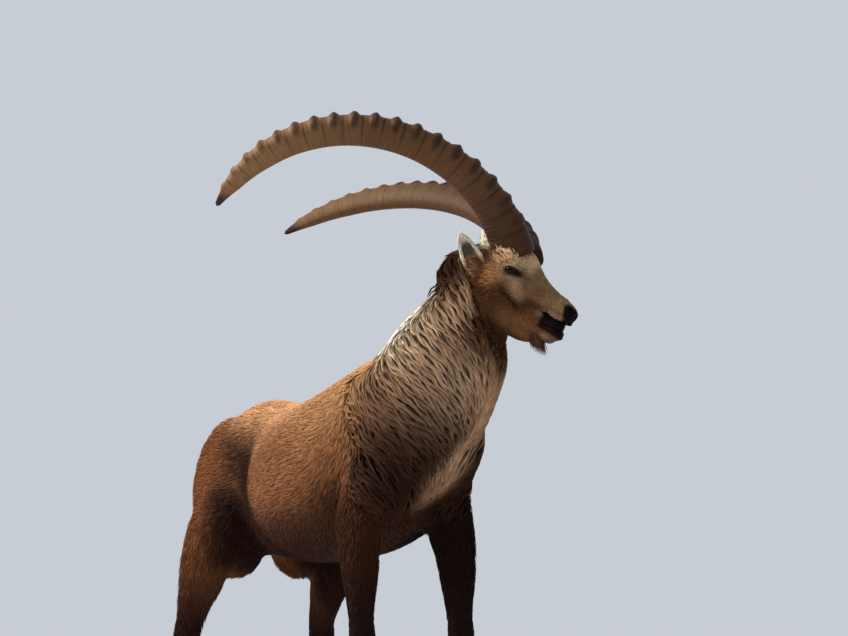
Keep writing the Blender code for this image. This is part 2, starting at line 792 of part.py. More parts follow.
def dewclaw(pair, side, inner, swell=0.0):
    """A small blunt claw behind the fetlock, its root sunk in the leg."""
    rows = leg_stations(pair, side)
    fetlock = rows[-4]
    outward = SIDES[side] * (-1 if inner else 1)
    place = (fetlock[0] - fetlock[5] + 0.002, fetlock[1] + outward * 0.013, fetlock[2] - 0.016)
    radii = (0.0095 + swell, 0.0085 + swell, 0.0135 + swell)
    return ellipsoid("dewclaw", place, radii, (0, math.radians(24), 0), segments=8, rings=5)


# Locks of the coat

def blade(path, normals, width, thickness):
    """A flat tapered lock along a path: three sided, widest near its middle, closed at both ends."""
    count = len(path)
    verts = []
    for i in range(count - 1):
        share = i / (count - 1)
        ahead = (path[i + 1] - path[max(0, i - 1)])
        ahead /= np.linalg.norm(ahead)
        across = np.cross(normals[i], ahead)
        across /= np.linalg.norm(across)
        half = width / 2 * (0.75 + 0.5 * math.sin(math.pi * share)) * (1 - share ** 3)
        high = thickness * (1 - 0.6 * share)
        verts.append(path[i] - across * half)
        verts.append(path[i] + across * half)
        verts.append(path[i] + normals[i] * high)
    verts.append(path[-1])
    faces = [(0, 1, 2)]
    for i in range(count - 2):
        a, b = 3 * i, 3 * i + 3
        for j in range(LOCK_SIDES):
            k = (j + 1) % LOCK_SIDES
            faces.append((a + j, b + j, b + k))
            faces.append((a + j, b + k, a + k))
    last, tip = 3 * (count - 2), len(verts) - 1
    faces.extend((last + j, tip, last + (j + 1) % LOCK_SIDES) for j in range(LOCK_SIDES))
    made = mesh_object("lock", verts, faces)
    face_outwards(made)
    return made


class Hide:
    """The skin that locks grow on: finds the nearest point of it and the way out."""

    def __init__(self, *skins):
        points, faces = [], []
        for skin in skins:
            start = len(points)
            points.extend(v.co.copy() for v in skin.data.vertices)
            faces.extend([start + k for k in p.vertices] for p in skin.data.polygons)
        self.tree = BVHTree.FromPolygons(points, faces)

    def nearest(self, point):
        place, normal, _, _ = self.tree.find_nearest(Vector(point))
        return np.array(place), np.array(normal)

    def outwards(self, start, direction):
        """Where a line from inside the body comes out for the last time."""
        far = Vector(start) + Vector(direction) * 0.6
        place, _, _, _ = self.tree.ray_cast(far, -Vector(direction), 0.6)
        return None if place is None else np.array(place)


def surface_lock(hide, root, lie, length, width, lifts, bend, thickness=0.007):
    """A lock that starts under the wool, follows the skin and lifts towards its tip."""
    point, path, normals = root, [], []
    for i, lift in enumerate(lifts):
        place, normal = hide.nearest(point)
        path.append(place + normal * lift)
        normals.append(normal)
        heading = np.array(lie) + np.cross(normal, lie) * bend * math.cos(math.pi * i / 2)
        heading -= normal * heading.dot(normal)
        heading /= np.linalg.norm(heading)
        point = place + heading * length / (len(lifts) - 1)
    return blade(path, normals, width, thickness)


# Points along the middle of the coat-bearing front of the body, for rows of locks
LOCK_AXIS = [
    (0.335, 0.000, 0.700),
    (0.350, 0.000, 0.760),
    (0.390, 0.000, 0.835),
    (0.462, 0.012, 0.925),
    (0.516, 0.036, 1.015),
    (0.556, 0.064, 1.080),
    (0.575, 0.080, 1.100),
]
LOCK_ROWS = 12
LOCK_SPACING = 0.060


def neck_locks(hide, keep, rng):
    """Rows of overlapping locks down the neck, the chest and the front of the shoulders."""
    axis = catmull_rom(LOCK_AXIS, 10)
    forward, side, over = ring_frames(axis, (0, 0, 1))
    made = []
    for row in range(LOCK_ROWS):
        share = row / (LOCK_ROWS - 1)
        i = int(share * (len(axis) - 1))
        girth = 2 * math.pi * (0.15 - 0.06 * share)
        count = round(girth / LOCK_SPACING)
        for k in range(count):
            angle = 2 * math.pi * (k + 0.5 * (row % 2)) / count + rng.uniform(-0.08, 0.08)
            way = side[i] * math.cos(angle) + over[i] * math.sin(angle)
            root = hide.outwards(axis[i], way)
            if root is None or not keep(root):
                continue
            top = max(0.0, math.sin(angle))
            under = max(0.0, -math.sin(angle))
            lie = (0.50 - 1.1 * top - 0.5 * under, 0.0, -0.86)
            length = rng.uniform(0.095, 0.115) * (1.05 - 0.30 * share)
            tip = 0.015 + 0.003 * under
            lifts = (-0.007, 0.004, 0.009, 0.012, tip)
            width = rng.uniform(0.038, 0.046)
            made.append(surface_lock(hide, root, lie, length, width, lifts, rng.uniform(-0.3, 0.3)))
    return made


def beard_locks(rng):
    """The short beard: a few locks that hang from the chin and sweep back a little."""
    made = []
    for k in range(9):
        across = (k % 3 - 1) * 0.75 + rng.uniform(-0.15, 0.15)
        start = Vector((22.2 + 1.2 * (k // 3), across, -8.1 - 0.1 * (k // 3))) * CM
        root = np.array(FACE_FRAME @ start)
        ahead = np.array((FACE_FRAME.to_3x3() @ Vector((1, 0, 0))))
        side = np.array((FACE_FRAME.to_3x3() @ Vector((0, 1, 0))))
        length = rng.uniform(0.040, 0.052)
        path = [
            root + np.array([0, 0, 1]) * (0.008 - (length + 0.008) * i / 4)
            + ahead * 0.010 * (i / 4) ** 2 + side * across * 0.0016 * i
            for i in range(5)
        ]
        normals = [-ahead] * 5
        made.append(blade(path, normals, 0.013, 0.006))
    return made


def tail_pieces():
    """The core of the short tail, from inside the rump to its tip."""
    rows = []
    for x, z, half, over, under in [
        (-0.500, 0.855, 0.030, 0.024, 0.024),
        (-0.545, 0.858, 0.030, 0.024, 0.024),
        (-0.585, 0.838, 0.030, 0.022, 0.022),
        (-0.607, 0.795, 0.028, 0.019, 0.019),
        (-0.615, 0.745, 0.022, 0.015, 0.015),
        (-0.616, 0.712, 0.012, 0.009, 0.009),
    ]:
        px, pz = pitched(x, z)
        rows.append((px, spine_y(x), pz, half, over, under))
    return [loft("tail", rows, (0, 0, 1), sides=14)]


def tail_locks(rng):
    """A brush of locks down the back of the tail that runs out past its tip."""
    made = []
    top, tip = pitched(-0.585, 0.815), pitched(-0.606, 0.715)
    for k in range(9):
        share = (k % 5) / 4
        across = (k // 5 - 0.5) * 0.022 if k < 8 else 0.0
        start = np.array([top[0] + (tip[0] - top[0]) * share, spine_y(-0.58) + across,
                          top[1] + (tip[1] - top[1]) * share])
        down = np.array([-0.16 + 0.10 * share, across * 3, -1.0])
        down /= np.linalg.norm(down)
        length = rng.uniform(0.046, 0.056)
        normal = np.array([-1.0, 0.0, -0.1])
        path = [start + down * length * i / 4 + normal * (0.012 * i / 4 - 0.003)
                for i in range(5)]
        made.append(blade(path, [normal] * 5, 0.020, 0.008))
    return made


def with_locks(obj, locks):
    """Fuses a collection of locks to a body."""
    group = bpy.data.collections.new("locks")
    bpy.context.scene.collection.children.link(group)
    for lock in locks:
        HELPERS.objects.unlink(lock)
        group.objects.link(lock)
    boolean(obj, group, "UNION", "MANIFOLD")
    for lock in list(group.objects):
        bpy.data.objects.remove(lock)
    bpy.data.collections.remove(group)
    return obj


def cut_clear(obj, neighbour):
    """Keeps a piece just clear of a neighbour that it lies against."""
    wider = grown(neighbour, 1.4 * CLEARANCE)
    boolean(obj, wider, "DIFFERENCE", "MANIFOLD")
    bpy.data.objects.remove(wider)
    return obj


def subtract(obj, cutters, solver="EXACT"):
    for cutter in cutters:
        boolean(obj, cutter, "DIFFERENCE", solver)
        bpy.data.objects.remove(cutter)
    return obj


# Where the parts of the body meet, as outlines in X and Z
NECK_OUTLINE = [
    (0.398, 0.600), (0.900, 0.600), (0.900, 1.400), (0.200, 1.400), (0.200, 1.080),
    (0.290, 0.950), (0.372, 0.640),
]
FORELEG_OUTLINE = [(0.255, -0.050), (0.600, -0.050), (0.600, 0.490), (0.255, 0.490)]
HINDLEG_OUTLINE = [(-0.800, -0.050), (-0.135, -0.050), (-0.135, 0.490), (-0.440, 0.640),
                   (-0.800, 0.720)]
FORE_KNEE_HEIGHT = 0.325
HOCK_HEIGHT = 0.350


def neck_surface():
    return loft("neck", neck_core(), (0, 0, 1), sides=24)


def build_body():
    """Trunk, neck, tail and legs as one skin, then parted with thin cuts."""
    pieces = trunk_pieces() + tail_pieces() + [neck_surface()]
    pieces.extend(moved(piece, FACE_FRAME) for piece in head_pieces()[:2])
    pieces.extend(leg(pair, side) for pair in ("fore", "hind") for side in SIDES)
    body = fused("body", pieces, 0.0055, 5)
    softened(body, 26, lambda co: min(1.0, max(0.0, (co.z - 0.42) / 0.16)))
    thinned(body, 4000)
    hide = Hide(body)

    neck = split_off(body, prism("neck_cut", NECK_OUTLINE, -0.4, 0.4), "neck")
    tail_x, tail_z = pitched(-0.562, 0.830)
    tail_cut = plane_frame((tail_x, 0.0, tail_z), (-0.90, 0.0, -0.10), (0, 1, 0))
    cutter = box("tail_cut", (-0.10, -0.06, 0.0), (0.12, 0.12, 0.3), tail_cut)
    tail = split_off(body, cutter, "tail")

    limbs = {}
    for side, sign in SIDES.items():
        for pair, outline in (("fore", FORELEG_OUTLINE), ("hind", HINDLEG_OUTLINE)):
            reach = sorted((sign * 0.030 + (0.030 if pair == "hind" else 0.0), sign * 0.40))
            limbs[pair, side] = split_off(body, prism("limb_cut", outline, *reach), pair)
    return body, neck, tail, limbs, hide


def finish_limb(limb, pair, side):
    """Parts a leg at the knee or hock, squares it off at the coronet and adds the claws."""
    rows = leg_stations(pair, side)
    ankle_x, ankle_y = rows[-2][0], rows[-2][1]
    coronet = Matrix.Translation((ankle_x, ankle_y, CORONET_HEIGHT))
    coronet = coronet @ Matrix.Rotation(-CORONET_SLOPE, 4, "Y")
    subtract(limb, [box("below", (-0.2, -0.2, -0.2), (0.2, 0.2, 0.0), coronet)])
    dewclaws = []
    for inner in (True, False):
        where = "inner" if inner else "outer"
        subtract(limb, [dewclaw(pair, side, inner, swell=CLEARANCE)])
        dewclaws.append((dewclaw(pair, side, inner), f"dewclaw_{pair}_{side}_{where}"))
        node(claw(pair, side, inner), f"claw_{pair}_{side}_{where}", HOOF)
    level = FORE_KNEE_HEIGHT if pair == "fore" else HOCK_HEIGHT
    lower = split_off(limb, box("below", (-1.0, -1.0, -0.1), (1.0, 1.0, level)), "lower")
    node(limb, f"{pair}leg_upper_{side}", COAT_BROWN)
    node(lower, f"{pair}leg_lower_{side}", COAT_DARK)
    for piece, name in dewclaws:
        node(piece, name, HOOF)


def head_cut_frame():
    """The plane that parts the head from the neck, from the nape to the throat."""
    return plane_frame(
        FACE_FRAME @ Vector((-0.030, 0.0, 0.020)),
        FACE_FRAME.to_3x3() @ Vector((0.700, 0.0, 0.714)),
        FACE_FRAME.to_3x3() @ Vector((0.0, 1.0, 0.0)),
    )


def build_head():
    """The head: one skin, then lids, eye sockets, nostrils and the seats of horns and ears."""
    nape = moved(neck_surface(), FACE_FRAME.inverted())
    head = fused("head", head_pieces() + [nape], 0.0024, 8)
    shape_face(head)
    softened(head, 1)
    thinned(head, 2600)
    front = box("front", (-0.5, -0.3, GAP), (0.5, 0.3, 0.6), head_cut_frame())
    moved(front, FACE_FRAME.inverted())
    boolean(head, front, "INTERSECT")
    bpy.data.objects.remove(front)
    for sign in SIDES.values():
        dome = lid_dome(sign)
        boolean(head, dome, "UNION")
        bpy.data.objects.remove(dome)
        socket = ellipsoid("socket", eye_place(sign), [EYE_RADIUS * CM + CLEARANCE] * 3,
                           segments=20, rings=12)
        subtract(head, [eye_opening(sign), socket, nostril(sign)])
    moved(head, FACE_FRAME)
    for side, sign in SIDES.items():
        subtract(head, [horn(side, swell=CLEARANCE)])
        cup = ear(side)
        cut_clear(head, cup)
        eyeball = ellipsoid("eyeball", eye_place(sign), [EYE_RADIUS * CM] * 3,
                            segments=16, rings=10)
        node(moved(eyeball, FACE_FRAME), f"eye_{side}", EYE)
        node(horn(side), f"horn_{side}", HORN)
        node(cup, f"ear_{side}", COAT_EAR)
    return head


def centre_over_origin():
    """Moves the whole animal so that its bounding box stands centred on the origin."""
    bpy.context.view_layer.update()
    corners = np.array([v.co for obj in IBEX.objects for v in obj.data.vertices])
    low, high = corners.min(0), corners.max(0)
    shift = Matrix.Translation((-(low[0] + high[0]) / 2, -(low[1] + high[1]) / 2, -low[2]))
    for obj in IBEX.objects:
        obj.data.transform(shift)
    print("shift", [round(v, 5) for v in shift.translation])


def main():
    rng = random.Random(7)
    torso, neck, tail, limbs, hide = build_body()
    head = build_head()
    behind = box("behind", (-0.5, -0.3, 0.0), (0.5, 0.3, 0.6), head_cut_frame())
    subtract(neck, [behind])
    if LOCKS:
        parting = head_cut_frame().inverted()

        def keep(root):
            return (parting @ Vector(root)).z < -0.008 and root[0] > 0.31

        with_locks(neck, neck_locks(hide, keep, rng))
        with_locks(head, beard_locks(rng))
        with_locks(tail, tail_locks(rng))
    cut_clear(neck, torso)
    cut_clear(neck, head)
    for side in SIDES:
        cut_clear(neck, IBEX.objects[f"ear_{side}"])
    cut_clear(tail, torso)
    for (pair, side), limb in limbs.items():
        finish_limb(limb, pair, side)
    node(torso, "torso", COAT_BROWN)
    node(neck, "neck", COAT_NECK)
    node(tail, "tail", COAT_DARK)
    node(head, "head", COAT_FACE)
    centre_over_origin()
    for spare in list(HELPERS.objects):
        bpy.data.objects.remove(spare)


main()
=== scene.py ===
# %% [markdown]
# # An alpine ibex at life size
#
# This notebook dresses a life-size alpine ibex. The solids of the animal come from the CAD part, and every
# step here adds what a solid can't hold: skin, eyes, grained horns and a coat of hair.
#
# The imported part is loaded first. It stays where it is and gives the size of everything that follows.

import math

import bmesh
import bpy
import numpy as np
from mathutils import Matrix, Vector
from mathutils.bvhtree import BVHTree


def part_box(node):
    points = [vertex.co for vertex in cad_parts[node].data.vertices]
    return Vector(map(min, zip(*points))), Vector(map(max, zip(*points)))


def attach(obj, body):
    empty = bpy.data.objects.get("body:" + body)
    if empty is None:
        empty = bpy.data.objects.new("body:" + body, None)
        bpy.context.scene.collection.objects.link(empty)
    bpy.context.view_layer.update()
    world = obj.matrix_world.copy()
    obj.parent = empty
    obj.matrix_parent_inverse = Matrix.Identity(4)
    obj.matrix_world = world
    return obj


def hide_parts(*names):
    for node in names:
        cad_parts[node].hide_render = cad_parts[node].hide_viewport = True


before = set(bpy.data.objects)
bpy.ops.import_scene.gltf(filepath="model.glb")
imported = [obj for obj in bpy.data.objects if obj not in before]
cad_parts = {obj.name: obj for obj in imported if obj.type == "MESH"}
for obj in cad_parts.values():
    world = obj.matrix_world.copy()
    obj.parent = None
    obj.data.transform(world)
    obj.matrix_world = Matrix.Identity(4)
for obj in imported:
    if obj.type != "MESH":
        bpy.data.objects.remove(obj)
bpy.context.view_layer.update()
bpy.ops.object.select_all(action="DESELECT")

# %% [markdown]
# ## Tools for soft bodies
#
# An animal has no flat sides and no straight edges, so boxes and extrusions don't suit it. A modeller's way
# is to lay oval rings along each limb, join them into a tube, push the tubes and some ovals for muscles into
# each other, and let a voxel remesh draw one skin round them all. These are the helpers for that.

# %% Mesh helpers
CM = 0.01
SIDES = {"right": -1, "left": 1}


def mesh_object(name, verts, faces):
    mesh = bpy.data.meshes.new(name)
    mesh.from_pydata([tuple(v) for v in verts], [], faces)
    made = bpy.data.objects.new(name, mesh)
    bpy.context.scene.collection.objects.link(made)
    return made


def apply_modifiers(obj):
    """Applies every modifier of the object in turn."""
    bpy.context.view_layer.objects.active = obj
    for modifier in list(obj.modifiers):
        bpy.ops.object.modifier_apply(modifier=modifier.name)
    return obj


def face_outwards(obj):
    shape = bmesh.new()
    shape.from_mesh(obj.data)
    bmesh.ops.recalc_face_normals(shape, faces=shape.faces)
    if shape.calc_volume(signed=True) < 0:
        bmesh.ops.reverse_faces(shape, faces=shape.faces)
    shape.to_mesh(obj.data)
    shape.free()


def moved(obj, matrix):
    obj.data.transform(matrix)
    return obj


def shaded_smooth(obj):
    obj.data.polygons.foreach_set("use_smooth", np.ones(len(obj.data.polygons), bool))
    return obj


def points_of(obj):
    flat = np.empty(len(obj.data.vertices) * 3, np.float32)
    obj.data.vertices.foreach_get("co", flat)
    return flat.reshape(-1, 3).astype(float)


def normals_of(obj):
    flat = np.empty(len(obj.data.vertices) * 3, np.float32)
    obj.data.vertex_normals.foreach_get("vector", flat)
    return flat.reshape(-1, 3).astype(float)


def set_points(obj, points):
    obj.data.vertices.foreach_set("co", np.asarray(points, np.float32).ravel())
    obj.data.update()


def joined(name, pieces):
    """Several meshes in one object, by Blender's own join."""
    bpy.ops.object.select_all(action="DESELECT")
    for piece in pieces:
        piece.select_set(True)
    bpy.context.view_layer.objects.active = pieces[0]
    if len(pieces) > 1:
        bpy.ops.object.join()
    pieces[0].name = name
    pieces[0].data.name = name
    bpy.ops.object.select_all(action="DESELECT")
    return pieces[0]


# %% Rings, tubes and ovals
def catmull_rom(rows, per_span):
    """A smooth curve through rows of numbers, per_span steps from each row to the next."""
    rows = np.array(rows, float)
    padded = np.vstack([2 * rows[0] - rows[1], rows, 2 * rows[-1] - rows[-2]])
    made = []
    for i in range(1, len(padded) - 2):
        before, here, there, after = padded[i - 1 : i + 3]
        for t in np.linspace(0, 1, per_span, endpoint=False):
            made.append(
                0.5 * (2 * here + (there - before) * t
                       + (2 * before - 5 * here + 4 * there - after) * t ** 2
                       + (3 * here - before - 3 * there + after) * t ** 3)
            )
    made.append(rows[-1])
    return np.array(made)


def ring_frames(centres, up):
    """For each centre of a tube: its forward, sideways and up directions."""
    forward = np.gradient(centres, axis=0)
    forward /= np.linalg.norm(forward, axis=1, keepdims=True)
    side = np.cross(np.array(up, float), forward)
    side /= np.linalg.norm(side, axis=1, keepdims=True)
    return forward, side, np.cross(forward, side)


def loft(name, stations, up, sides=28, per_span=6, squareness=2.0):
    """A closed tube through stations of (x, y, z, half width, height over, height under)."""
    rows = catmull_rom(stations, per_span)
    _, side, over = ring_frames(rows[:, :3], up)
    angle = 2 * math.pi * np.arange(sides) / sides
    across = np.sign(np.cos(angle)) * np.abs(np.cos(angle)) ** (2 / squareness)
    upward = np.sign(np.sin(angle)) * np.abs(np.sin(angle)) ** (2 / squareness)
    verts = []
    for i, row in enumerate(rows):
        height = np.where(upward > 0, row[4], row[5]) * upward
        verts.append(row[:3] + np.outer(across * row[3], side[i]) + np.outer(height, over[i]))
    faces = [
        (i * sides + j, i * sides + (j + 1) % sides,
         (i + 1) * sides + (j + 1) % sides, (i + 1) * sides + j)
        for i in range(len(rows) - 1)
        for j in range(sides)
    ]
    faces.append(tuple(reversed(range(sides))))
    faces.append(tuple(range((len(rows) - 1) * sides, len(rows) * sides)))
    made = mesh_object(name, np.vstack(verts), faces)
    face_outwards(made)
    return made


def oval(name, centre, radii, turn=(0.0, 0.0, 0.0), segments=32, rings=20):
    """An oval body: a UV sphere, stretched, turned and put in place."""
    bpy.ops.mesh.primitive_uv_sphere_add(segments=segments, ring_count=rings, radius=1.0)
    made = bpy.context.active_object
    made.name = name
    turned = Matrix.Rotation(turn[2], 4, "Z") @ Matrix.Rotation(turn[1], 4, "Y")
    turned = turned @ Matrix.Rotation(turn[0], 4, "X")
    made.data.transform(Matrix.Translation(centre) @ turned @ Matrix.Diagonal((*radii, 1.0)))
    made.select_set(False)
    return made


def fused(name, pieces, voxel, smoothing):
    """One smooth skin round overlapping masses."""
    made = joined(name, pieces)
    remesh = made.modifiers.new("one_skin", "REMESH")
    remesh.mode = "VOXEL"
    remesh.voxel_size = voxel
    apply_modifiers(made)
    return softened(made, smoothing)


def softened(obj, smoothing, weight=None):
    """Smooths a skin, everywhere or as much as the weight of each point says."""
    smooth = obj.modifiers.new("soften", "SMOOTH")
    smooth.factor = 0.5
    smooth.iterations = smoothing
    if weight is not None:
        group = obj.vertex_groups.new(name="soften")
        steps = np.clip(np.round(weight(points_of(obj)) * 10), 0, 10).astype(int)
        for step in range(1, 11):
            group.add([int(i) for i in np.flatnonzero(steps == step)], step / 10, "REPLACE")
        smooth.vertex_group = "soften"
    apply_modifiers(obj)
    obj.vertex_groups.clear()
    return obj


def thinned(obj, triangles):
    thin = obj.modifiers.new("thin_out", "DECIMATE")
    thin.ratio = triangles / (2 * len(obj.data.polygons))
    return apply_modifiers(obj)


def cut(obj, other, operation):
    """Adds, cuts or keeps a closed mesh, which is used up."""
    step = obj.modifiers.new(operation.lower(), "BOOLEAN")
    step.operation = operation
    step.solver = "MANIFOLD"
    step.object = other
    apply_modifiers(obj)
    bpy.data.objects.remove(other)
    return obj


# %% [markdown]
# ## The body under the coat
#
# The same named rings draw the body here as in the part, so the skin sits where the solids are: a trunk that
# is drawn level and then pitched up at the shoulders, a strong neck, and four legs in mid stride. The skin
# then sinks below the solids by the depth of the coat, which hair fills again later.

# %% Trunk, muscles and tail
WITHERS_X = 0.27
WITHERS_HEIGHT = 0.945
BODY_PITCH = math.radians(9.5)
SPINE_BEND = 0.030


def pitched(x, z):
    """Where a point of the level trunk goes once the forehand is raised."""
    back, down = x - WITHERS_X, z - WITHERS_HEIGHT
    return (
        WITHERS_X + back * math.cos(BODY_PITCH) - down * math.sin(BODY_PITCH),
        WITHERS_HEIGHT + back * math.sin(BODY_PITCH) + down * math.cos(BODY_PITCH),
    )


def spine_y(x):
    """The spine bends to the left behind the ribs, as it does in a turning stride."""
    return SPINE_BEND * np.maximum(0.0, -np.asarray(x) / 0.45) ** 2


# X, back line, belly line and half width of the level trunk
TRUNK = [
    (-0.560, 0.830, 0.700, 0.045),
    (-0.530, 0.874, 0.640, 0.098),
    (-0.450, 0.930, 0.600, 0.132),
    (-0.340, 0.950, 0.585, 0.136),
    (-0.230, 0.922, 0.560, 0.138),
    (-0.110, 0.905, 0.528, 0.186),
    (0.010, 0.900, 0.512, 0.214),
    (0.120, 0.912, 0.512, 0.200),
    (0.210, 0.930, 0.525, 0.172),
    (0.280, 0.938, 0.545, 0.154),
    (0.350, 0.905, 0.580, 0.142),
    (0.420, 0.860, 0.635, 0.118),
    (0.462, 0.800, 0.690, 0.060),
]
# Centre, radii and lean of the muscles that show, for each side
MUSCLES = {
    "right": {
        "shoulder_blade": ((0.255, 0.088, 0.750), (0.095, 0.070, 0.150), 14),
        "upper_arm": ((0.315, 0.104, 0.625), (0.092, 0.062, 0.095), 0),
        "haunch": ((-0.385, 0.085, 0.730), (0.155, 0.085, 0.190), 14),
        "hip_point": ((-0.295, 0.066, 0.862), (0.100, 0.060, 0.055), 0),
        "seat_bone": ((-0.500, 0.066, 0.735), (0.062, 0.060, 0.110), 0),
    },
    "left": {
        "shoulder_blade": ((0.245, 0.074, 0.750), (0.090, 0.066, 0.150), 14),
        "upper_arm": ((0.295, 0.070, 0.625), (0.078, 0.054, 0.095), 0),
        "haunch": ((-0.385, 0.085, 0.730), (0.155, 0.085, 0.190), 14),
        "hip_point": ((-0.295, 0.066, 0.862), (0.100, 0.060, 0.055), 0),
        "seat_bone": ((-0.500, 0.066, 0.735), (0.062, 0.060, 0.110), 0),
    },
}
TAIL = [
    (-0.500, 0.855, 0.030, 0.024, 0.024),
    (-0.545, 0.858, 0.030, 0.024, 0.024),
    (-0.585, 0.838, 0.030, 0.022, 0.022),
    (-0.607, 0.795, 0.028, 0.019, 0.019),
    (-0.615, 0.745, 0.022, 0.015, 0.015),
    (-0.616, 0.712, 0.012, 0.009, 0.009),
]


def trunk_stations():
    made = []
    for x, back, belly, half_width in TRUNK:
        middle = belly + 0.44 * (back - belly)
        px, pz = pitched(x, middle)
        made.append((px, float(spine_y(x)), pz, half_width, back - middle, middle - belly))
    return made


def trunk_pieces():
    made = [loft("trunk", trunk_stations(), (0, 0, 1))]
    for side, masses in MUSCLES.items():
        for name, (centre, radii, lean) in masses.items():
            x, z = pitched(centre[0], centre[2])
            y = float(spine_y(centre[0])) + SIDES[side] * centre[1]
            turn = (0.0, math.radians(lean) - BODY_PITCH, 0.0)
            made.append(oval(name, (x, y, z), radii, turn))
    return made


def tail_stations():
    made = []
    for x, z, half, over, under in TAIL:
        px, pz = pitched(x, z)
        made.append((px, float(spine_y(x)), pz, half, over, under))
    return made


# %% Neck and legs
NECK_COAT = 0.020
# Middle of the neck with its half width and heights over and under, tips of the coat included
NECK = [
    (0.290, 0.000, 0.770, 0.148, 0.150, 0.165),
    (0.390, 0.000, 0.835, 0.156, 0.150, 0.186),
    (0.465, 0.014, 0.925, 0.138, 0.128, 0.174),
    (0.520, 0.040, 1.010, 0.113, 0.100, 0.134),
    (0.558, 0.066, 1.070, 0.092, 0.078, 0.108),
    (0.588, 0.094, 1.088, 0.078, 0.062, 0.086),
]
# Legs: X, offset outwards, Z, half width, forward and backward depth of each ring
FORELEG = [
    (0.350, 0.105, 0.640, 0.058, 0.075, 0.085),
    (0.352, 0.122, 0.560, 0.054, 0.062, 0.070),
    (0.360, 0.130, 0.500, 0.047, 0.050, 0.054),
    (0.366, 0.130, 0.430, 0.041, 0.043, 0.043),
    (0.370, 0.128, 0.350, 0.032, 0.033, 0.031),
    (0.374, 0.127, 0.300, 0.033, 0.036, 0.030),
    (0.372, 0.126, 0.265, 0.027, 0.029, 0.027),
    (0.372, 0.125, 0.190, 0.022, 0.022, 0.024),
    (0.374, 0.125, 0.120, 0.026, 0.025, 0.029),
    (0.386, 0.125, 0.080, 0.026, 0.025, 0.026),
    (0.400, 0.125, 0.045, 0.030, 0.033, 0.030),
    (0.406, 0.125, 0.028, 0.028, 0.031, 0.028),
]
HINDLEG = [
    (-0.300, 0.085, 0.680, 0.070, 0.100, 0.150),
    (-0.300, 0.108, 0.600, 0.066, 0.098, 0.128),
    (-0.318, 0.130, 0.530, 0.060, 0.085, 0.118),
    (-0.358, 0.136, 0.460, 0.050, 0.068, 0.090),
    (-0.412, 0.132, 0.395, 0.038, 0.048, 0.060),
    (-0.452, 0.127, 0.345, 0.031, 0.036, 0.044),
    (-0.470, 0.126, 0.305, 0.031, 0.033, 0.042),
    (-0.472, 0.125, 0.255, 0.027, 0.029, 0.031),
    (-0.472, 0.125, 0.190, 0.023, 0.025, 0.026),
    (-0.474, 0.125, 0.125, 0.027, 0.027, 0.030),
    (-0.462, 0.125, 0.085, 0.027, 0.027, 0.027),
    (-0.446, 0.125, 0.045, 0.031, 0.034, 0.031),
    (-0.440, 0.125, 0.028, 0.029, 0.032, 0.029),
]
# How far forward and outwards each foot is set from the leg as drawn: the ibex walks
STRIDE = {
    ("fore", "right"): (-0.015, 0.0),
    ("fore", "left"): (0.030, -0.028),
    ("hind", "right"): (-0.050, 0.0),
    ("hind", "left"): (0.140, 0.0),
}


def neck_stations():
    return [(*row[:3], *(size - NECK_COAT for size in row[3:])) for row in NECK]


def leg_stations(pair, side):
    """A leg's rings: the stride grows from none at the top to all of it at the foot."""
    rows = FORELEG if pair == "fore" else HINDLEG
    top = rows[0][2]
    made = []
    for x, out, z, half_width, front, back in rows:
        forward, outward = STRIDE[pair, side]
        swing = forward * min(1.0, (top - z) / (top - 0.30))
        y = SIDES[side] * (out + outward) + float(spine_y(x))
        made.append((x + swing, y, z, half_width, front, back))
    return made


# %% [markdown]
# ## The head
#
# A wild goat's head is a long wedge: a broad forehead under the horns, deep cheeks, a straight nose, and
# a narrow muzzle, here with the mouth a little open. It is drawn lying along its own axis, where left and
# right mirror each other, and turned into place afterwards. Bones and hollows are raised and sunk along the
# skin's normals, which is how a sculptor's soft brush works.

# %% Skull, jaw and the forms of the face
POLL = Vector((0.540, 0.050, 1.141))
HEAD_YAW = math.radians(43.0)
HEAD_ROLL = math.radians(-14.0)
HEAD_PITCH = math.radians(29.5)
HEAD_FRAME = (
    Matrix.Translation(POLL)
    @ Matrix.Rotation(HEAD_YAW, 4, "Z")
    @ Matrix.Rotation(HEAD_ROLL, 4, "X")
)
FACE_FRAME = HEAD_FRAME @ Matrix.Rotation(HEAD_PITCH, 4, "Y")
# Along the head: middle height, half width, top and bottom of the skull and upper jaw, in centimetres
SKULL = [
    (-4.0, -7.6, 2.6, -6.6, -9.6),
    (-2.5, -6.4, 4.2, -3.6, -10.2),
    (-0.5, -4.8, 5.5, -0.4, -10.4),
    (3.0, -3.2, 6.5, 3.2, -9.8),
    (7.0, -1.5, 6.4, 5.8, -8.8),
    (10.5, -0.4, 5.9, 7.3, -7.6),
    (12.8, 0.0, 5.3, 6.9, -6.4),
    (14.8, 0.0, 4.7, 5.3, -5.6),
    (17.0, -0.2, 4.1, 3.9, -4.9),
    (19.6, -0.5, 3.5, 2.9, -4.2),
    (22.5, -0.8, 3.1, 2.2, -3.3),
    (25.0, -0.8, 3.0, 1.9, -2.9),
    (27.0, -1.0, 2.6, 1.3, -2.9),
    (28.5, -1.3, 1.5, 0.2, -2.4),
]
LOWER_JAW = [
    (0.0, -8.0, 3.6, -5.0, -11.2),
    (6.0, -8.0, 4.7, -4.0, -12.0),
    (12.0, -8.0, 4.2, -3.6, -11.9),
    (16.0, -7.6, 3.4, -3.8, -11.1),
    (19.0, -7.3, 2.8, -4.2, -10.3),
    (21.5, -6.9, 2.4, -4.9, -9.3),
    (24.0, -6.7, 2.2, -5.1, -8.6),
    (26.4, -6.1, 2.0, -4.8, -7.9),
    (28.3, -5.6, 1.2, -4.5, -6.8),
]
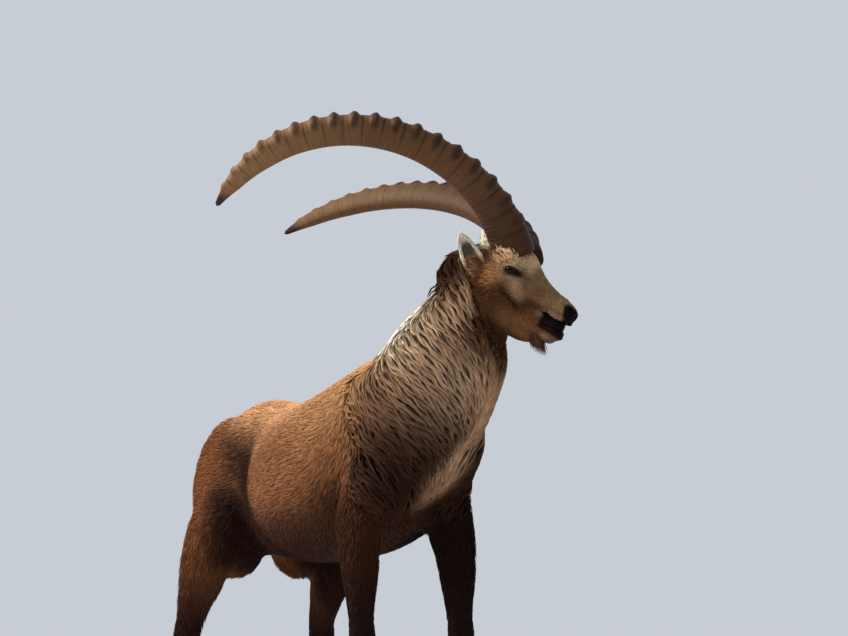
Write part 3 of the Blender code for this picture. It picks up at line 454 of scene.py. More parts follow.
HEAD_MASSES = {
    "horn_seat": ((6.8, 3.5, 4.2), (5.6, 3.5, 3.2)),
    "ear_seat": ((4.9, 5.3, -3.2), (2.1, 1.7, 2.1)),
    "upper_lip": ((25.4, 1.5, -2.5), (3.0, 1.3, 1.0)),
    "chin": ((24.8, 0.8, -7.5), (2.3, 1.3, 1.3)),
    "mouth_corner": ((20.2, 1.7, -4.7), (3.0, 1.55, 1.5)),
    "under_jaw": ((17.0, 0.8, -9.6), (5.5, 1.9, 1.9)),
}
# Centre, radius and height of the soft forms, in centimetres; a hollow has a negative height
HEAD_FORMS = {
    "chewing_muscle": ((9.5, 5.0, -6.8), 3.6, 0.70),
    "brow": ((11.2, 5.8, 3.2), 2.0, 0.75),
    "temple": ((5.5, 6.6, -0.8), 2.2, -0.40),
    "cheekbone": ((15.0, 4.6, -2.2), 2.2, 0.50),
    "tear_hollow": ((15.2, 4.6, 0.6), 1.3, -0.45),
    "jaw_hollow": ((17.0, 3.9, -5.6), 1.7, -0.45),
    "nose_side": ((21.0, 3.2, 0.2), 2.2, -0.30),
    "nose_wing": ((26.3, 2.6, 0.2), 1.2, 0.40),
    "lip_corner": ((22.4, 2.6, -4.6), 1.1, 0.30),
    "throat": ((2.0, 3.0, -11.0), 3.0, 0.3),
    "nose_split": ((28.3, 0.0, -1.0), 0.7, -0.35),
    "lip_edge": ((24.2, 2.7, -3.3), 0.9, 0.15),
    "lower_lip_edge": ((25.4, 2.0, -5.2), 0.8, 0.18),
}


def head_stations(rows):
    return [
        (CM * u, 0.0, CM * middle, CM * half, CM * (top - middle), CM * (middle - bottom))
        for u, middle, half, top, bottom in rows
    ]


def skull_and_jaw():
    return [
        loft("skull", head_stations(SKULL), (0, 0, 1), sides=32, squareness=2.2),
        loft("lower_jaw", head_stations(LOWER_JAW), (0, 0, 1), sides=28, squareness=2.2),
    ]


def head_pieces():
    made = skull_and_jaw()
    for name, (centre, radii) in HEAD_MASSES.items():
        for sign in SIDES.values():
            place = Vector((centre[0], sign * centre[1], centre[2])) * CM
            made.append(oval(name, place, [CM * r for r in radii]))
    return made


def shape_face(obj):
    """Raises and hollows the soft forms of the face along the skin's own normals."""
    points, normals = points_of(obj), normals_of(obj)
    push = np.zeros(len(points))
    for centre, radius, height in HEAD_FORMS.values():
        for sign in SIDES.values():
            place = np.array((centre[0], sign * centre[1], centre[2])) * CM
            near = ((points - place) ** 2).sum(1) / (radius * CM) ** 2
            share = 1.0 if centre[1] else 0.5
            push += share * height * CM * np.exp(-near)
    set_points(obj, points + normals * push[:, None])

# %% [markdown]
# ## Eyes
#
# The eyeballs sit deep in the sides of the skull, under a brow and between two thick lids. The lids are
# a dome round the eyeball, fused to the skull, with an almond cut through it. The real eye is amber with
# a pupil that lies level as a slot. Its iris and pupil are coloured by where a point lies on the eyeball.

# %% Eye places and lids
EYE_CENTRE = (11.7, 4.50, 0.6)
EYE_RADIUS = 1.55
EYE_TILT = -0.16
LID_THICKNESS = 0.30
EYE_OPENING = (2.00, 0.72)
NOSTRIL = ((27.2, 2.5, 0.1), (1.15, 0.75, 0.42))


def eye_place(sign):
    return Vector((EYE_CENTRE[0], sign * EYE_CENTRE[1], EYE_CENTRE[2])) * CM


def lid_dome(sign):
    """The two lids as one dome over the eyeball, before the opening is cut."""
    radius = (EYE_RADIUS + LID_THICKNESS) * CM
    size = (radius * 1.12, radius, radius)
    return oval("lid_dome", eye_place(sign), size, (0, EYE_TILT, 0), 48, 32)


def eye_opening(sign):
    """The almond between the lids, as a cutter that reaches outwards from the eyeball."""
    count = 48
    verts = []
    for out in (0.9, 3.0):
        for j in range(count):
            turn = 2 * math.pi * j / count
            along = EYE_OPENING[0] * math.cos(turn)
            high = EYE_OPENING[1] * math.copysign(abs(math.sin(turn)) ** 1.3, math.sin(turn))
            spread = 0.75 + 0.25 * out / 1.7
            verts.append(Vector((along * spread, out * sign, high * spread)) * CM)
    faces = [tuple(range(count)), tuple(range(count, 2 * count))]
    faces.extend((j, (j + 1) % count, count + (j + 1) % count, count + j) for j in range(count))
    made = mesh_object("eye_opening", verts, faces)
    face_outwards(made)
    return moved(made, Matrix.Translation(eye_place(sign)) @ Matrix.Rotation(EYE_TILT, 4, "Y"))


def nostril(sign):
    place = Vector((NOSTRIL[0][0], sign * NOSTRIL[0][1], NOSTRIL[0][2])) * CM
    return oval("nostril", place, [CM * r for r in NOSTRIL[1]], (0, 0.45, sign * -0.55), 24, 16)


# The drawing's own frame lies a step away from the part's, which is centred on its box
low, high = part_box("eye_right")
EYE_DRAWN = FACE_FRAME @ eye_place(-1)
TO_PART = Matrix.Translation((low + high) / 2 - EYE_DRAWN)
SHIFT = np.array(TO_PART.translation)
print("drawing to part", [round(v, 5) for v in SHIFT])

# %% [markdown]
# ## One skin
#
# The body is fused at a coarse step and the head at a fine one, because lids and lips need points that a
# flank doesn't. Both are sunk below the outline by the depth of the coat that grows there, then joined under
# the long hair of the neck.

# %% Coat depth by region
BODY_DEPTH = 0.010
LEG_DEPTH = 0.004
FACE_DEPTH = 0.0026


def ramp(x, low, high):
    """0 below low, 1 above high, and smooth between them."""
    t = np.clip((x - low) / (high - low), 0.0, 1.0)
    return t * t * (3 - 2 * t)


def mix(a, b, share):
    return a + (b - a) * share


FACE_MATRIX = np.array(FACE_FRAME)
FACE_BACK = np.linalg.inv(FACE_MATRIX)


def in_face(points):
    """Points of the drawing in the frame of the face, in centimetres."""
    return (points @ FACE_BACK[:3, :3].T + FACE_BACK[:3, 3]) / CM


def neck_share(points):
    """How much a point belongs to the long coat: 1 on neck and chest, 0 behind the shoulders."""
    x, z = points[:, 0], points[:, 2]
    edge = np.interp(z, [0.560, 0.640, 0.950, 1.080], [0.395, 0.365, 0.275, 0.200])
    face = in_face(points)
    ahead = ramp(face[:, 0] * 0.70 + face[:, 2] * 0.714, 1.5, -1.5)
    return ramp(x - edge, -0.035, 0.055) * ramp(z, 0.520, 0.660) * ahead


# %% The body skin
body = trunk_pieces()
body.append(loft("tail", tail_stations(), (0, 0, 1), sides=20))
body.append(loft("neck", neck_stations(), (0, 0, 1)))
body.extend(moved(piece, FACE_FRAME) for piece in skull_and_jaw())
for pair in ("fore", "hind"):
    for side in SIDES:
        body.append(loft(f"{pair}leg_{side}", leg_stations(pair, side), (1, 0, 0), sides=20))
body = fused("body_skin", body, 0.0055, 5)
softened(body, 26, lambda p: ramp(p[:, 2], 0.42, 0.58))
points, normals = points_of(body), normals_of(body)
depth = mix(LEG_DEPTH, BODY_DEPTH, ramp(points[:, 2], 0.40, 0.62))
depth = mix(depth, 0.002, ramp(points[:, 0], 0.38, 0.46) * ramp(points[:, 2], 0.70, 0.80))
depth = mix(depth, 0.004, ramp(in_face(points)[:, 0], -3.0, 1.0))
set_points(body, points - normals * depth[:, None])
thinned(body, 90000)
PARTING = FACE_FRAME @ Vector((-0.030, 0.0, 0.020))
PARTING_NORMAL = FACE_FRAME.to_3x3() @ Vector((0.700, 0.0, 0.714))


def bisected(obj, point, normal):
    """Cuts a closed mesh by a plane and closes it again, keeping what lies behind the normal."""
    bpy.context.view_layer.objects.active = obj
    obj.select_set(True)
    bpy.ops.object.mode_set(mode="EDIT")
    bpy.ops.mesh.select_all(action="SELECT")
    bpy.ops.mesh.bisect(plane_co=point, plane_no=normal, use_fill=True, clear_outer=True)
    bpy.ops.object.mode_set(mode="OBJECT")
    obj.select_set(False)
    return obj


bisected(body, PARTING + PARTING_NORMAL * 0.020, PARTING_NORMAL)
print("body skin", len(body.data.polygons), "faces")


# %% The head skin
nape = loft("nape", neck_stations()[3:], (0, 0, 1))
head = fused("head_skin", head_pieces() + [moved(nape, FACE_FRAME.inverted())], 0.0021, 6)
shape_face(head)
softened(head, 2)
set_points(head, points_of(head) - normals_of(head) * FACE_DEPTH)
for sign in SIDES.values():
    cut(head, lid_dome(sign), "UNION")
    cut(head, eye_opening(sign), "DIFFERENCE")
    size = [(EYE_RADIUS + 0.03) * CM] * 3
    cut(head, oval("socket", eye_place(sign), size, segments=48, rings=32), "DIFFERENCE")
    cut(head, nostril(sign), "DIFFERENCE")
moved(head, FACE_FRAME)
bisected(head, PARTING - PARTING_NORMAL * 0.035, -PARTING_NORMAL)
print("head skin", len(head.data.polygons), "faces")

# %% [markdown]
# ## Ears
#
# Each ear is a pointed cup, open forwards and outwards. A sheet is bent along its lie and given a wall by
# Solidify, and a subdivision rounds its rim.

# %% Ears
EAR_ROOT = (5.2, 5.9, -2.9)
EAR_LENGTH = 9.2
EAR_LIE = (-0.54, 0.71, 0.45)
EAR_MOUTH = (0.70, 0.70, -0.20)


def ear(side, around=11, along=11):
    sign = SIDES[side]
    lie = Vector((EAR_LIE[0], sign * EAR_LIE[1], EAR_LIE[2])).normalized()
    mouth = Vector((EAR_MOUTH[0], sign * EAR_MOUTH[1], EAR_MOUTH[2]))
    mouth = (mouth - lie * mouth.dot(lie)).normalized()
    across = lie.cross(mouth)
    root = Vector((EAR_ROOT[0], sign * EAR_ROOT[1], EAR_ROOT[2]))
    verts = []
    for i in range(along):
        share = i / (along - 1)
        width = 1.95 * math.sin(math.pi * (0.22 + 0.78 * share) ** 0.9) ** 0.75 + 0.15
        wrap = math.radians(115 - 45 * share)
        curl = mouth * (-0.8 * math.sin(math.pi * share * 0.8))
        centre = root + lie * (EAR_LENGTH * (share * 1.15 - 0.15)) + curl
        for j in range(around):
            turn = wrap * (2 * j / (around - 1) - 1)
            verts.append(centre + across * (width * math.sin(turn) / math.sin(min(wrap, 1.57)))
                         - mouth * (width * 0.75 * math.cos(turn)))
    faces = [
        (i * around + j, i * around + j + 1, (i + 1) * around + j + 1, (i + 1) * around + j)
        for i in range(along - 1)
        for j in range(around - 1)
    ]
    made = mesh_object(f"ear_skin_{side}", [v * CM for v in verts], faces)
    wall = made.modifiers.new("wall", "SOLIDIFY")
    wall.thickness = 0.18 * CM
    wall.offset = 0.0
    rounding = made.modifiers.new("rounding", "SUBSURF")
    rounding.levels = rounding.render_levels = 2
    apply_modifiers(made)
    face_outwards(made)
    return moved(made, FACE_FRAME)


ears = {side: ear(side) for side in SIDES}
print("ears", {side: len(made.data.polygons) for side, made in ears.items()}, "faces")

# %% [markdown]
# ## Markings
#
# The coat's colour changes with the place on the body: pale tan along the back, brown flanks, near black
# legs, a grizzled neck, a pale ring round the eye and a black nose. One function gives the colour of any
# point, and skin and hair both ask it, so that their markings agree wherever hair is parted.
# Some colours are painted light rather than markings: painted shade on the belly, along the front of the
# thigh, behind the elbows, on the upper left foreleg and below the open mouth, and a painted highlight along
# the back edge of the rump.

# %% Palette, as light reflected by clean hair, with some colours of painted shade and painted highlight
def linear(red, green, blue):
    """A colour picked on a screen scale of 0 to 255, as the shader needs it."""
    c = np.array((red, green, blue), float) / 255
    return np.where(c <= 0.04045, c / 12.92, ((c + 0.055) / 1.055) ** 2.4)


BACK_TAN = linear(194, 146, 106)
FLANK_BROWN = linear(138, 91, 59)
# Painted shade: the belly's colour as it looks in shade
BELLY_SHADE_BROWN = linear(74, 42, 26)
RUMP_BROWN = linear(118, 72, 40)
# Painted highlight: the rump's back edge as it looks in the light
RUMP_EDGE_HIGHLIGHT = linear(200, 146, 98)
# Painted shade for the front of the thigh and behind the elbows
FOLD_SHADE = linear(34, 14, 8)
SHOULDER_TAN = linear(176, 130, 88)
LEG_BROWN = linear(64, 35, 21)
LEG_DARK = linear(30, 14, 10)
NECK_GRIZZLED = linear(166, 134, 104)
NECK_LOW = linear(104, 72, 52)
NECK_FOOT = linear(40, 20, 12)
CHEST_BROWN = linear(172, 134, 102)
THROAT_BROWN = linear(74, 42, 26)
NAPE_DARK = linear(52, 26, 14)
NAPE_PALE = linear(248, 234, 208)
CHEEK_BROWN = linear(98, 62, 36)
CHEEK_DARK = linear(54, 26, 14)
CHEEK_WARM = linear(204, 142, 92)
EYE_RING = linear(200, 166, 126)
UNDER_EYE = linear(176, 136, 106)
FOREHEAD = linear(214, 180, 140)
CROWN_DARK = linear(70, 40, 24)
NOSE_BRIDGE = linear(148, 120, 82)
NOSE_SIDE = linear(136, 100, 68)
MUZZLE = linear(158, 132, 98)
JAW_BROWN = linear(122, 84, 54)
NOSE_BLACK = linear(12, 9, 9)
LIP_BLACK = linear(24, 13, 11)
LIP_PALE = linear(150, 116, 100)
MOUTH_DARK = linear(40, 14, 14)
EAR_BACK = linear(172, 128, 88)
EAR_INSIDE = linear(232, 218, 192)
EAR_HOLLOW = linear(96, 84, 66)
EAR_RIM = linear(244, 236, 216)
BEARD_BROWN = linear(92, 60, 42)
TAIL_DARK = linear(38, 20, 14)


def spot(local, centre, radius, power=1.0):
    """A soft round mark in the frame of the face, the same on both sides."""
    place = local.copy()
    place[:, 1] = np.abs(place[:, 1])
    near = ((place - np.array(centre)) ** 2 / np.array(radius) ** 2).sum(1)
    return np.exp(-near ** power)


def blend(colours, colour, share):
    return mix(colours, colour, np.clip(share, 0, 1)[:, None])


def body_colours(points):
    x, z = points[:, 0], points[:, 2]
    back, down = x - WITHERS_X, z - WITHERS_HEIGHT
    level_x = WITHERS_X + back * math.cos(BODY_PITCH) + down * math.sin(BODY_PITCH)
    level_z = WITHERS_HEIGHT - back * math.sin(BODY_PITCH) + down * math.cos(BODY_PITCH)
    rows = np.array(TRUNK)
    top = np.interp(level_x, rows[:, 0], rows[:, 1])
    bottom = np.interp(level_x, rows[:, 0], rows[:, 2])
    height = (level_z - bottom) / (top - bottom)
    # Painted shade darkens the belly, and the lower flank's own darker brown runs into it
    made = mix(BELLY_SHADE_BROWN, FLANK_BROWN, ramp(height, 0.0, 0.42)[:, None])
    made = blend(made, BACK_TAN, ramp(height, 0.58, 1.00))
    made = blend(made, RUMP_BROWN, ramp(level_x, -0.24, -0.38) * ramp(height, 1.04, 0.80))
    made = blend(made, SHOULDER_TAN, ramp(level_x, 0.06, 0.18) * ramp(height, 0.40, 0.75) * 0.8)
    # Painted shade makes the thigh darkest along its front, where it meets the flank, with some of its own
    # darker hair; a painted highlight makes it pale along its back edge
    fold_shade = np.exp(-((level_x + 0.218 + 0.14 * (height - 0.5)) / 0.085) ** 4)
    lower = np.exp(-((x + 0.235) / 0.080) ** 4) * ramp(z, 0.72, 0.60)
    fold_shade = np.maximum(0.95 * fold_shade * ramp(height, 0.90, 0.62), lower)
    made = blend(made, FOLD_SHADE, fold_shade)
    # Painted highlight along the back edge of the rump and thigh
    made = blend(made, RUMP_EDGE_HIGHLIGHT, ramp(x, -0.430, -0.520) * ramp(z, 0.45, 0.62) * 0.8)
    # Painted shade behind the elbow, where the foreleg meets the chest
    elbow_shade = np.exp(-((x - 0.275) / 0.07) ** 2 - ((z - 0.60) / 0.07) ** 2)
    made = blend(made, FOLD_SHADE, elbow_shade * 0.7)
    legs = ramp(z, 0.64, 0.50)
    hind = ramp(x, 0.0, -0.2)
    made = blend(made, LEG_BROWN, legs * (1 - 0.9 * fold_shade) * (1 - 0.6 * hind * ramp(z, 0.36, 0.50)))
    made = blend(made, LEG_DARK, ramp(z - 0.12 * hind, 0.54 - 0.24 * hind, 0.34 - 0.18 * hind))
    made = blend(made, LEG_DARK, legs * ramp(x, 0.38, 0.44))
    # Painted shade: the upper part of the left foreleg, the far one, is darker as it lies in shade
    made = blend(made, LEG_DARK, ramp(z, 0.68, 0.58) * ramp(x, 0.10, 0.25) * ramp(points[:, 1], 0.0, 0.06))
    tail_x, _ = pitched(-0.572, 0.80)
    made = blend(made, TAIL_DARK, ramp(x, tail_x + 0.02, tail_x - 0.01) * ramp(z, 0.55, 0.60))
    return made


NECK_LINE = catmull_rom(NECK, 10)[:, :3]


def chest_strip(points):
    """How far a point lies from the pale strip down the front of the chest, with its sign."""
    z = points[:, 2]
    return points[:, 1] - 0.62 * (np.clip(z, 0.60, 0.78) - 0.660)


def neck_colours(points):
    near = ((points[:, None, :] - NECK_LINE[None, ::3]) ** 2).sum(2).argmin(1)
    centre = NECK_LINE[::3][near]
    share = near / (len(NECK_LINE[::3]) - 1)
    out = points - centre
    out /= np.maximum(np.linalg.norm(out, axis=1, keepdims=True), 1e-6)
    above = out[:, 2] - out[:, 0] * 0.75
    made = mix(NECK_LOW, NECK_GRIZZLED, ramp(share, 0.10, 0.50)[:, None])
    made = blend(made, NECK_LOW, ramp(share, 0.62, 0.85) * 0.5)
    strip = np.abs(chest_strip(points))
    made = blend(made, CHEST_BROWN, ramp(above, -0.30, -0.85) * ramp(strip, 0.09, 0.02) * 0.65)
    made = blend(made, THROAT_BROWN, ramp(above, -0.30, -0.8) * ramp(share, 0.48, 0.68))
    foot = ramp(points[:, 2], 0.90, 0.70) * ramp(strip, 0.02, 0.08)
    made = blend(made, NECK_FOOT, foot * 0.88)
    made = blend(made, NECK_FOOT, ramp(points[:, 2], 0.70, 0.60) * 0.9)
    made = blend(made, SHOULDER_TAN, ramp(above, 0.20, 0.8) * ramp(share, 0.42, 0.28))
    pale = 0.12 * ramp(above, -0.45, 0.10) + 0.88 * ramp(above, 0.06, 0.50)
    made = blend(made, NAPE_PALE, pale * ramp(share, 0.32, 0.42) * ramp(share, 0.66, 0.54))
    made = blend(made, NAPE_DARK, ramp(above, 0.05, 0.55) * ramp(share, 0.55, 0.72))
    return made


def face_colours(points):
    local = in_face(points)
    u, v, w = local[:, 0], np.abs(local[:, 1]), local[:, 2]
    made = np.tile(CHEEK_BROWN, (len(points), 1))
    made = blend(made, JAW_BROWN, ramp(w, -4.5, -7.5) * ramp(u, 12.0, 17.0))
    made = blend(made, CHEEK_DARK, ramp(w, -9.6, -11.4) * 0.7)
    made = blend(made, FOREHEAD, ramp(w, 1.2, 3.0) * ramp(u, 18.5, 15.0))
    made = blend(made, NOSE_SIDE, ramp(u, 15.5, 17.5) * ramp(w, -3.5, -1.5))
    made = blend(made, NOSE_BRIDGE, ramp(u, 15.0, 18.0) * ramp(w, 0.4, 1.8))
    made = blend(made, NOSE_BRIDGE, ramp(u, 20.0, 22.5) * ramp(w, -2.4, -0.8))
    made = blend(made, CROWN_DARK, ramp(u, 8.4, 6.8) * ramp(w, -0.4, 1.0))
    made = blend(made, CHEEK_WARM, spot(local, (9.2, 6.2, -1.0), (2.2, 3.4, 2.9), 1.6))
    made = blend(made, EYE_RING, spot(local, (11.8, 5.4, 0.9), (3.7, 3.4, 2.5), 1.5) * 0.95)
    for centre, size in (((14.6, 5.2, -1.7), 1.0), ((15.9, 4.9, -3.3), 0.85)):
        made = blend(made, UNDER_EYE, spot(local, centre, (2.0 * size, 3.0, 1.7 * size), 1.6) * 0.95)
    line = -4.0 - 0.10 * (u - 12.4) - 0.075 * (u - 12.4) ** 2
    crease = np.exp(-((w - line) / 0.55) ** 2) * ramp(u, 11.4, 12.6) * ramp(u, 17.4, 16.2)
    made = blend(made, CHEEK_DARK, crease * 0.9)
    made = blend(made, CHEEK_DARK, spot(local, (14.4, 5.0, 1.6), (0.7, 2.5, 1.5)) * 0.6)
    made = blend(made, MUZZLE, ramp(u, 20.5, 23.0) * ramp(w, -1.8, -3.0) * ramp(w, -5.5, -4.0))
    nose = ramp(u + 0.25 * w, 25.6, 26.2) * ramp(w, -3.9, -3.3) * ramp(w - 0.35 * u, -8.6, -9.3)
    made = blend(made, NOSE_BLACK, nose)
    made = blend(made, NOSE_BLACK, spot(local, (27.2, 2.3, 0.0), (1.6, 1.4, 1.1), 2.0))
    gap = np.interp(u, [19.0, 21.5, 24.0, 26.4, 28.3], [-4.6, -4.3, -4.1, -3.9, -3.5])
    # Black lips, and below them painted shade of the open mouth: soft dark brown on the jaw's side, black
    # nearer the gap
    inside = ramp(u, 21.8, 23.0) * ramp(w, gap + 0.75, gap + 0.25) * ramp(w, -7.3, -6.5)
    made = blend(made, CHEEK_DARK, ramp(u, 21.4, 23.4) * ramp(w, gap, gap - 0.5) * ramp(w, -8.0, -6.4) * 0.55)
    made = blend(made, LIP_BLACK, inside)
    pale = ramp(u, 23.5, 25.0) * np.exp(-((w + 7.7) / 0.5) ** 2)
    made = blend(made, LIP_PALE, pale * 0.6)
    made = blend(made, LIP_PALE, ramp(u, 22.0, 23.4) * np.exp(-((w - gap - 1.1) / 0.45) ** 2)
                 * ramp(u, 27.5, 26.0) * 0.95)
    # The dark rims of the lids make an almond that runs down into the inner corner
    along, high = (u - 12.5) * 0.97 + (w - 0.5) * 0.24, (w - 0.5) * 0.97 - (u - 12.5) * 0.24
    almond = (along / 2.45) ** 2 + (high / (1.15 - 0.12 * along)) ** 2
    made = blend(made, LIP_BLACK, np.exp(-np.minimum(almond, 9.0) ** 3) * ramp(v, 3.0, 4.0))
    made = blend(made, NAPE_DARK, ramp(u, 3.2, 0.5) * ramp(w, -3.5, -0.5))
    made = blend(made, EAR_INSIDE, ramp(w, 1.4, 2.8) * ramp(u, 6.4, 5.2) * ramp(u, 0.6, 2.2)
                 * ramp(v, 3.6, 5.0) * 0.85)
    made = blend(made, EAR_BACK, spot(local, (3.4, 6.5, -3.6), (2.4, 3.0, 2.4), 1.6))
    return made


def coat_colours(points):
    """The coat's colour at points of the drawing."""
    local = in_face(points)
    face = ramp(local[:, 0] * 0.70 + local[:, 2] * 0.714, -2.0, 1.0)
    face *= ramp(np.linalg.norm(points - np.array(POLL), axis=1), 0.42, 0.38)
    made = body_colours(points)
    neck = neck_share(points)
    made = mix(made, neck_colours(points), neck[:, None])
    return mix(made, face_colours(points), face[:, None])


def paint(obj, colours, name="coat_colour"):
    """Stores a colour for each point of the mesh."""
    layer = obj.data.color_attributes.new(name, "FLOAT_COLOR", "POINT")
    layer.data.foreach_set("color", np.hstack([colours, np.ones((len(colours), 1))])
                           .astype(np.float32).ravel())
    return obj


# %% [markdown]
# ## The way the hair lies
#
# Hair is combed by the body's own growth: back along the nose, forehead and flanks, down the legs, and
# from the crest of the neck down and forwards to the throat. The lie is a direction for every point, and
# each tuft starts along it.

# %% Lie of the coat
def lie_of_coat(points, normals):
    x, y, z = points.T
    made = np.tile((-1.0, 0.0, -0.22), (len(points), 1))
    rump = ramp(x, -0.36, -0.52)[:, None]
    made = mix(made, np.array((-0.45, 0.0, -1.0)), rump)
    shoulder = (ramp(x, 0.16, 0.30) * ramp(z, 0.90, 0.78))[:, None]
    made = mix(made, np.array((-0.35, 0.0, -1.0)), shoulder)
    legs = ramp(z, 0.62, 0.46)[:, None]
    made = mix(made, np.array((-0.12, 0.0, -1.0)), legs)
    top = np.clip(normals[:, 2] - 0.7 * normals[:, 0], 0, 1)
    side = normals[:, 1] ** 2
    meeting = -0.40 * np.tanh(chest_strip(points) / 0.05) * ramp(z, 1.10, 0.96) * (1 - top)
    neck_way = np.stack([0.10 + 0.80 * side - 1.8 * top, meeting, -0.78 * np.ones(len(x))], 1)
    made = mix(made, neck_way, ramp(neck_share(points), 0.0, 0.5)[:, None])
    local = in_face(points)
    face = ramp(local[:, 0] * 0.70 + local[:, 2] * 0.714, -2.0, 1.0)
    face *= ramp(np.linalg.norm(points - np.array(POLL), axis=1), 0.42, 0.38)
    face_way = np.stack([-np.ones(len(x)), 0.20 * np.sign(local[:, 1]), -0.35 + 0.08 * local[:, 2]], 1)
    face_way = face_way @ FACE_MATRIX[:3, :3].T
    made = mix(made, face_way, face[:, None])
    made -= normals * (made * normals).sum(1, keepdims=True)
    return made / np.maximum(np.linalg.norm(made, axis=1, keepdims=True), 1e-6)


# %% [markdown]
# ## An unwrap that hair can share
#
# A tuft has no room of its own on a texture, so each one takes a small patch of the skin's unwrap, where its
# root grows. The unwrap is by axis: along the trunk, neck, head, each leg, tail and ear, and round them.

# %% Axis unwrap
AXES = [catmull_rom([row[:3] for row in trunk_stations()], 6), NECK_LINE]
AXES.append(np.array([FACE_FRAME @ Vector((CM * u, 0, CM * -2.0)) for u in np.linspace(0, 29, 30)]))
for pair in ("fore", "hind"):
    for side in SIDES:
        AXES.append(catmull_rom([row[:3] for row in leg_stations(pair, side)][1:], 4))
AXES.append(catmull_rom([row[:3] for row in tail_stations()][1:], 4))
SHEETS = [
    (0.00, 0.00, 0.62, 0.40), (0.00, 0.41, 0.40, 0.30), (0.00, 0.72, 0.40, 0.27),
    (0.64, 0.00, 0.35, 0.16), (0.64, 0.17, 0.35, 0.16), (0.64, 0.34, 0.35, 0.16),
    (0.64, 0.51, 0.35, 0.16), (0.64, 0.68, 0.20, 0.10),
]
EAR_SHEETS = {"right": (0.42, 0.42, 0.18, 0.18), "left": (0.42, 0.62, 0.18, 0.18)}


def unwrap(points):
    """Each point's place on the shared unwrap of the skin."""
    best = np.full(len(points), 1e9)
    made = np.zeros((len(points), 2))
    for axis, (left, bottom, width, height) in zip(AXES, SHEETS):
        forward, side, over = ring_frames(axis, (0, 0, 1) if abs(axis[0, 2] - axis[-1, 2])
                                          < abs(axis[0] - axis[-1])[:2].max() else (1, 0, 0))
        near = np.empty(len(points), int)
        apart = np.empty(len(points))
        for start in range(0, len(points), 20000):
            part = slice(start, start + 20000)
            gaps = ((points[part, None, :] - axis[None]) ** 2).sum(2)
            near[part] = gaps.argmin(1)
            apart[part] = gaps.min(1)
        out = points - axis[near]
        along = near + np.clip((out * forward[near]).sum(1) / np.linalg.norm(axis[1] - axis[0]), -1, 1)
        angle = np.arctan2((out * side[near]).sum(1), (out * over[near]).sum(1))
        closer = apart < best
        best = np.where(closer, apart, best)
        place = np.stack([left + width * np.clip(along / (len(axis) - 1), 0, 1),
                          bottom + height * (angle / (2 * math.pi) + 0.5)], 1)
        made[closer] = place[closer]
    return made


# %% [markdown]
# ## Tufts
#
# A real coat has tens of millions of hairs, so each tuft here stands for a few dozen that cling together:
# a thin three-sided blade that tapers to a point and bends down towards the skin. All the tufts of
# a piece are made at once with array arithmetic, because modelling them by hand would take years.

# %% Planting tufts
random = np.random.default_rng(11)


def scattered(obj, count, density):
    """Random points on a mesh, thicker where the density is high, with their normals."""
    mesh = obj.data
    mesh.calc_loop_triangles()
    corners = np.empty(len(mesh.loop_triangles) * 3, np.int32)
    mesh.loop_triangles.foreach_get("vertices", corners)
    corners = corners.reshape(-1, 3)
    points, normals = points_of(obj), normals_of(obj)
    a, b, c = (points[corners[:, k]] for k in range(3))
    area = np.linalg.norm(np.cross(b - a, c - a), axis=1) / 2
    middle = (a + b + c) / 3
    weight = area * density(middle, normals[corners[:, 0]])
    chosen = random.choice(len(corners), count, p=weight / weight.sum())
    s, t = random.random((2, count, 1))
    flip = (s + t) > 1
    s, t = np.where(flip, 1 - s, s), np.where(flip, 1 - t, t)
    places = a[chosen] + s * (b[chosen] - a[chosen]) + t * (c[chosen] - a[chosen])
    ups = sum(normals[corners[chosen, k]] for k in range(3))
    return places, ups / np.linalg.norm(ups, axis=1, keepdims=True)


def tuft_mesh(paths, ups, widths, shape):
    """Verts and faces of tapered blades along paths, given as (tufts, steps, 3)."""
    count, steps, _ = paths.shape
    ahead = np.gradient(paths, axis=1)
    across = np.cross(ups, ahead)
    across /= np.maximum(np.linalg.norm(across, axis=2, keepdims=True), 1e-9)
    over = np.cross(ahead, across)
    over /= np.maximum(np.linalg.norm(over, axis=2, keepdims=True), 1e-9)
    half = widths[:, None, None] / 2 * np.array(shape)[None, :, None]
    rings = np.stack([paths - across * half, paths + across * half, paths + over * half * 0.8], 2)
    rings = rings[:, :-1].reshape(count, -1, 3)
    verts = np.concatenate([rings, paths[:, -1:]], 1)
    per = verts.shape[1]
    faces = [(0, 2, 1)]
    for i in range(steps - 2):
        for j in range(3):
            k = (j + 1) % 3
            a, b = 3 * i, 3 * i + 3
            faces.extend([(a + j, a + k, b + k), (a + j, b + k, b + j)])
    last = 3 * (steps - 2)
    faces.extend((last + j, last + (j + 1) % 3, per - 1) for j in range(3))
    faces = np.array(faces)[None] + (np.arange(count) * per)[:, None, None]
    return verts.reshape(-1, 3), faces.reshape(-1, 3), per


MOST_TRIANGLES = 190000


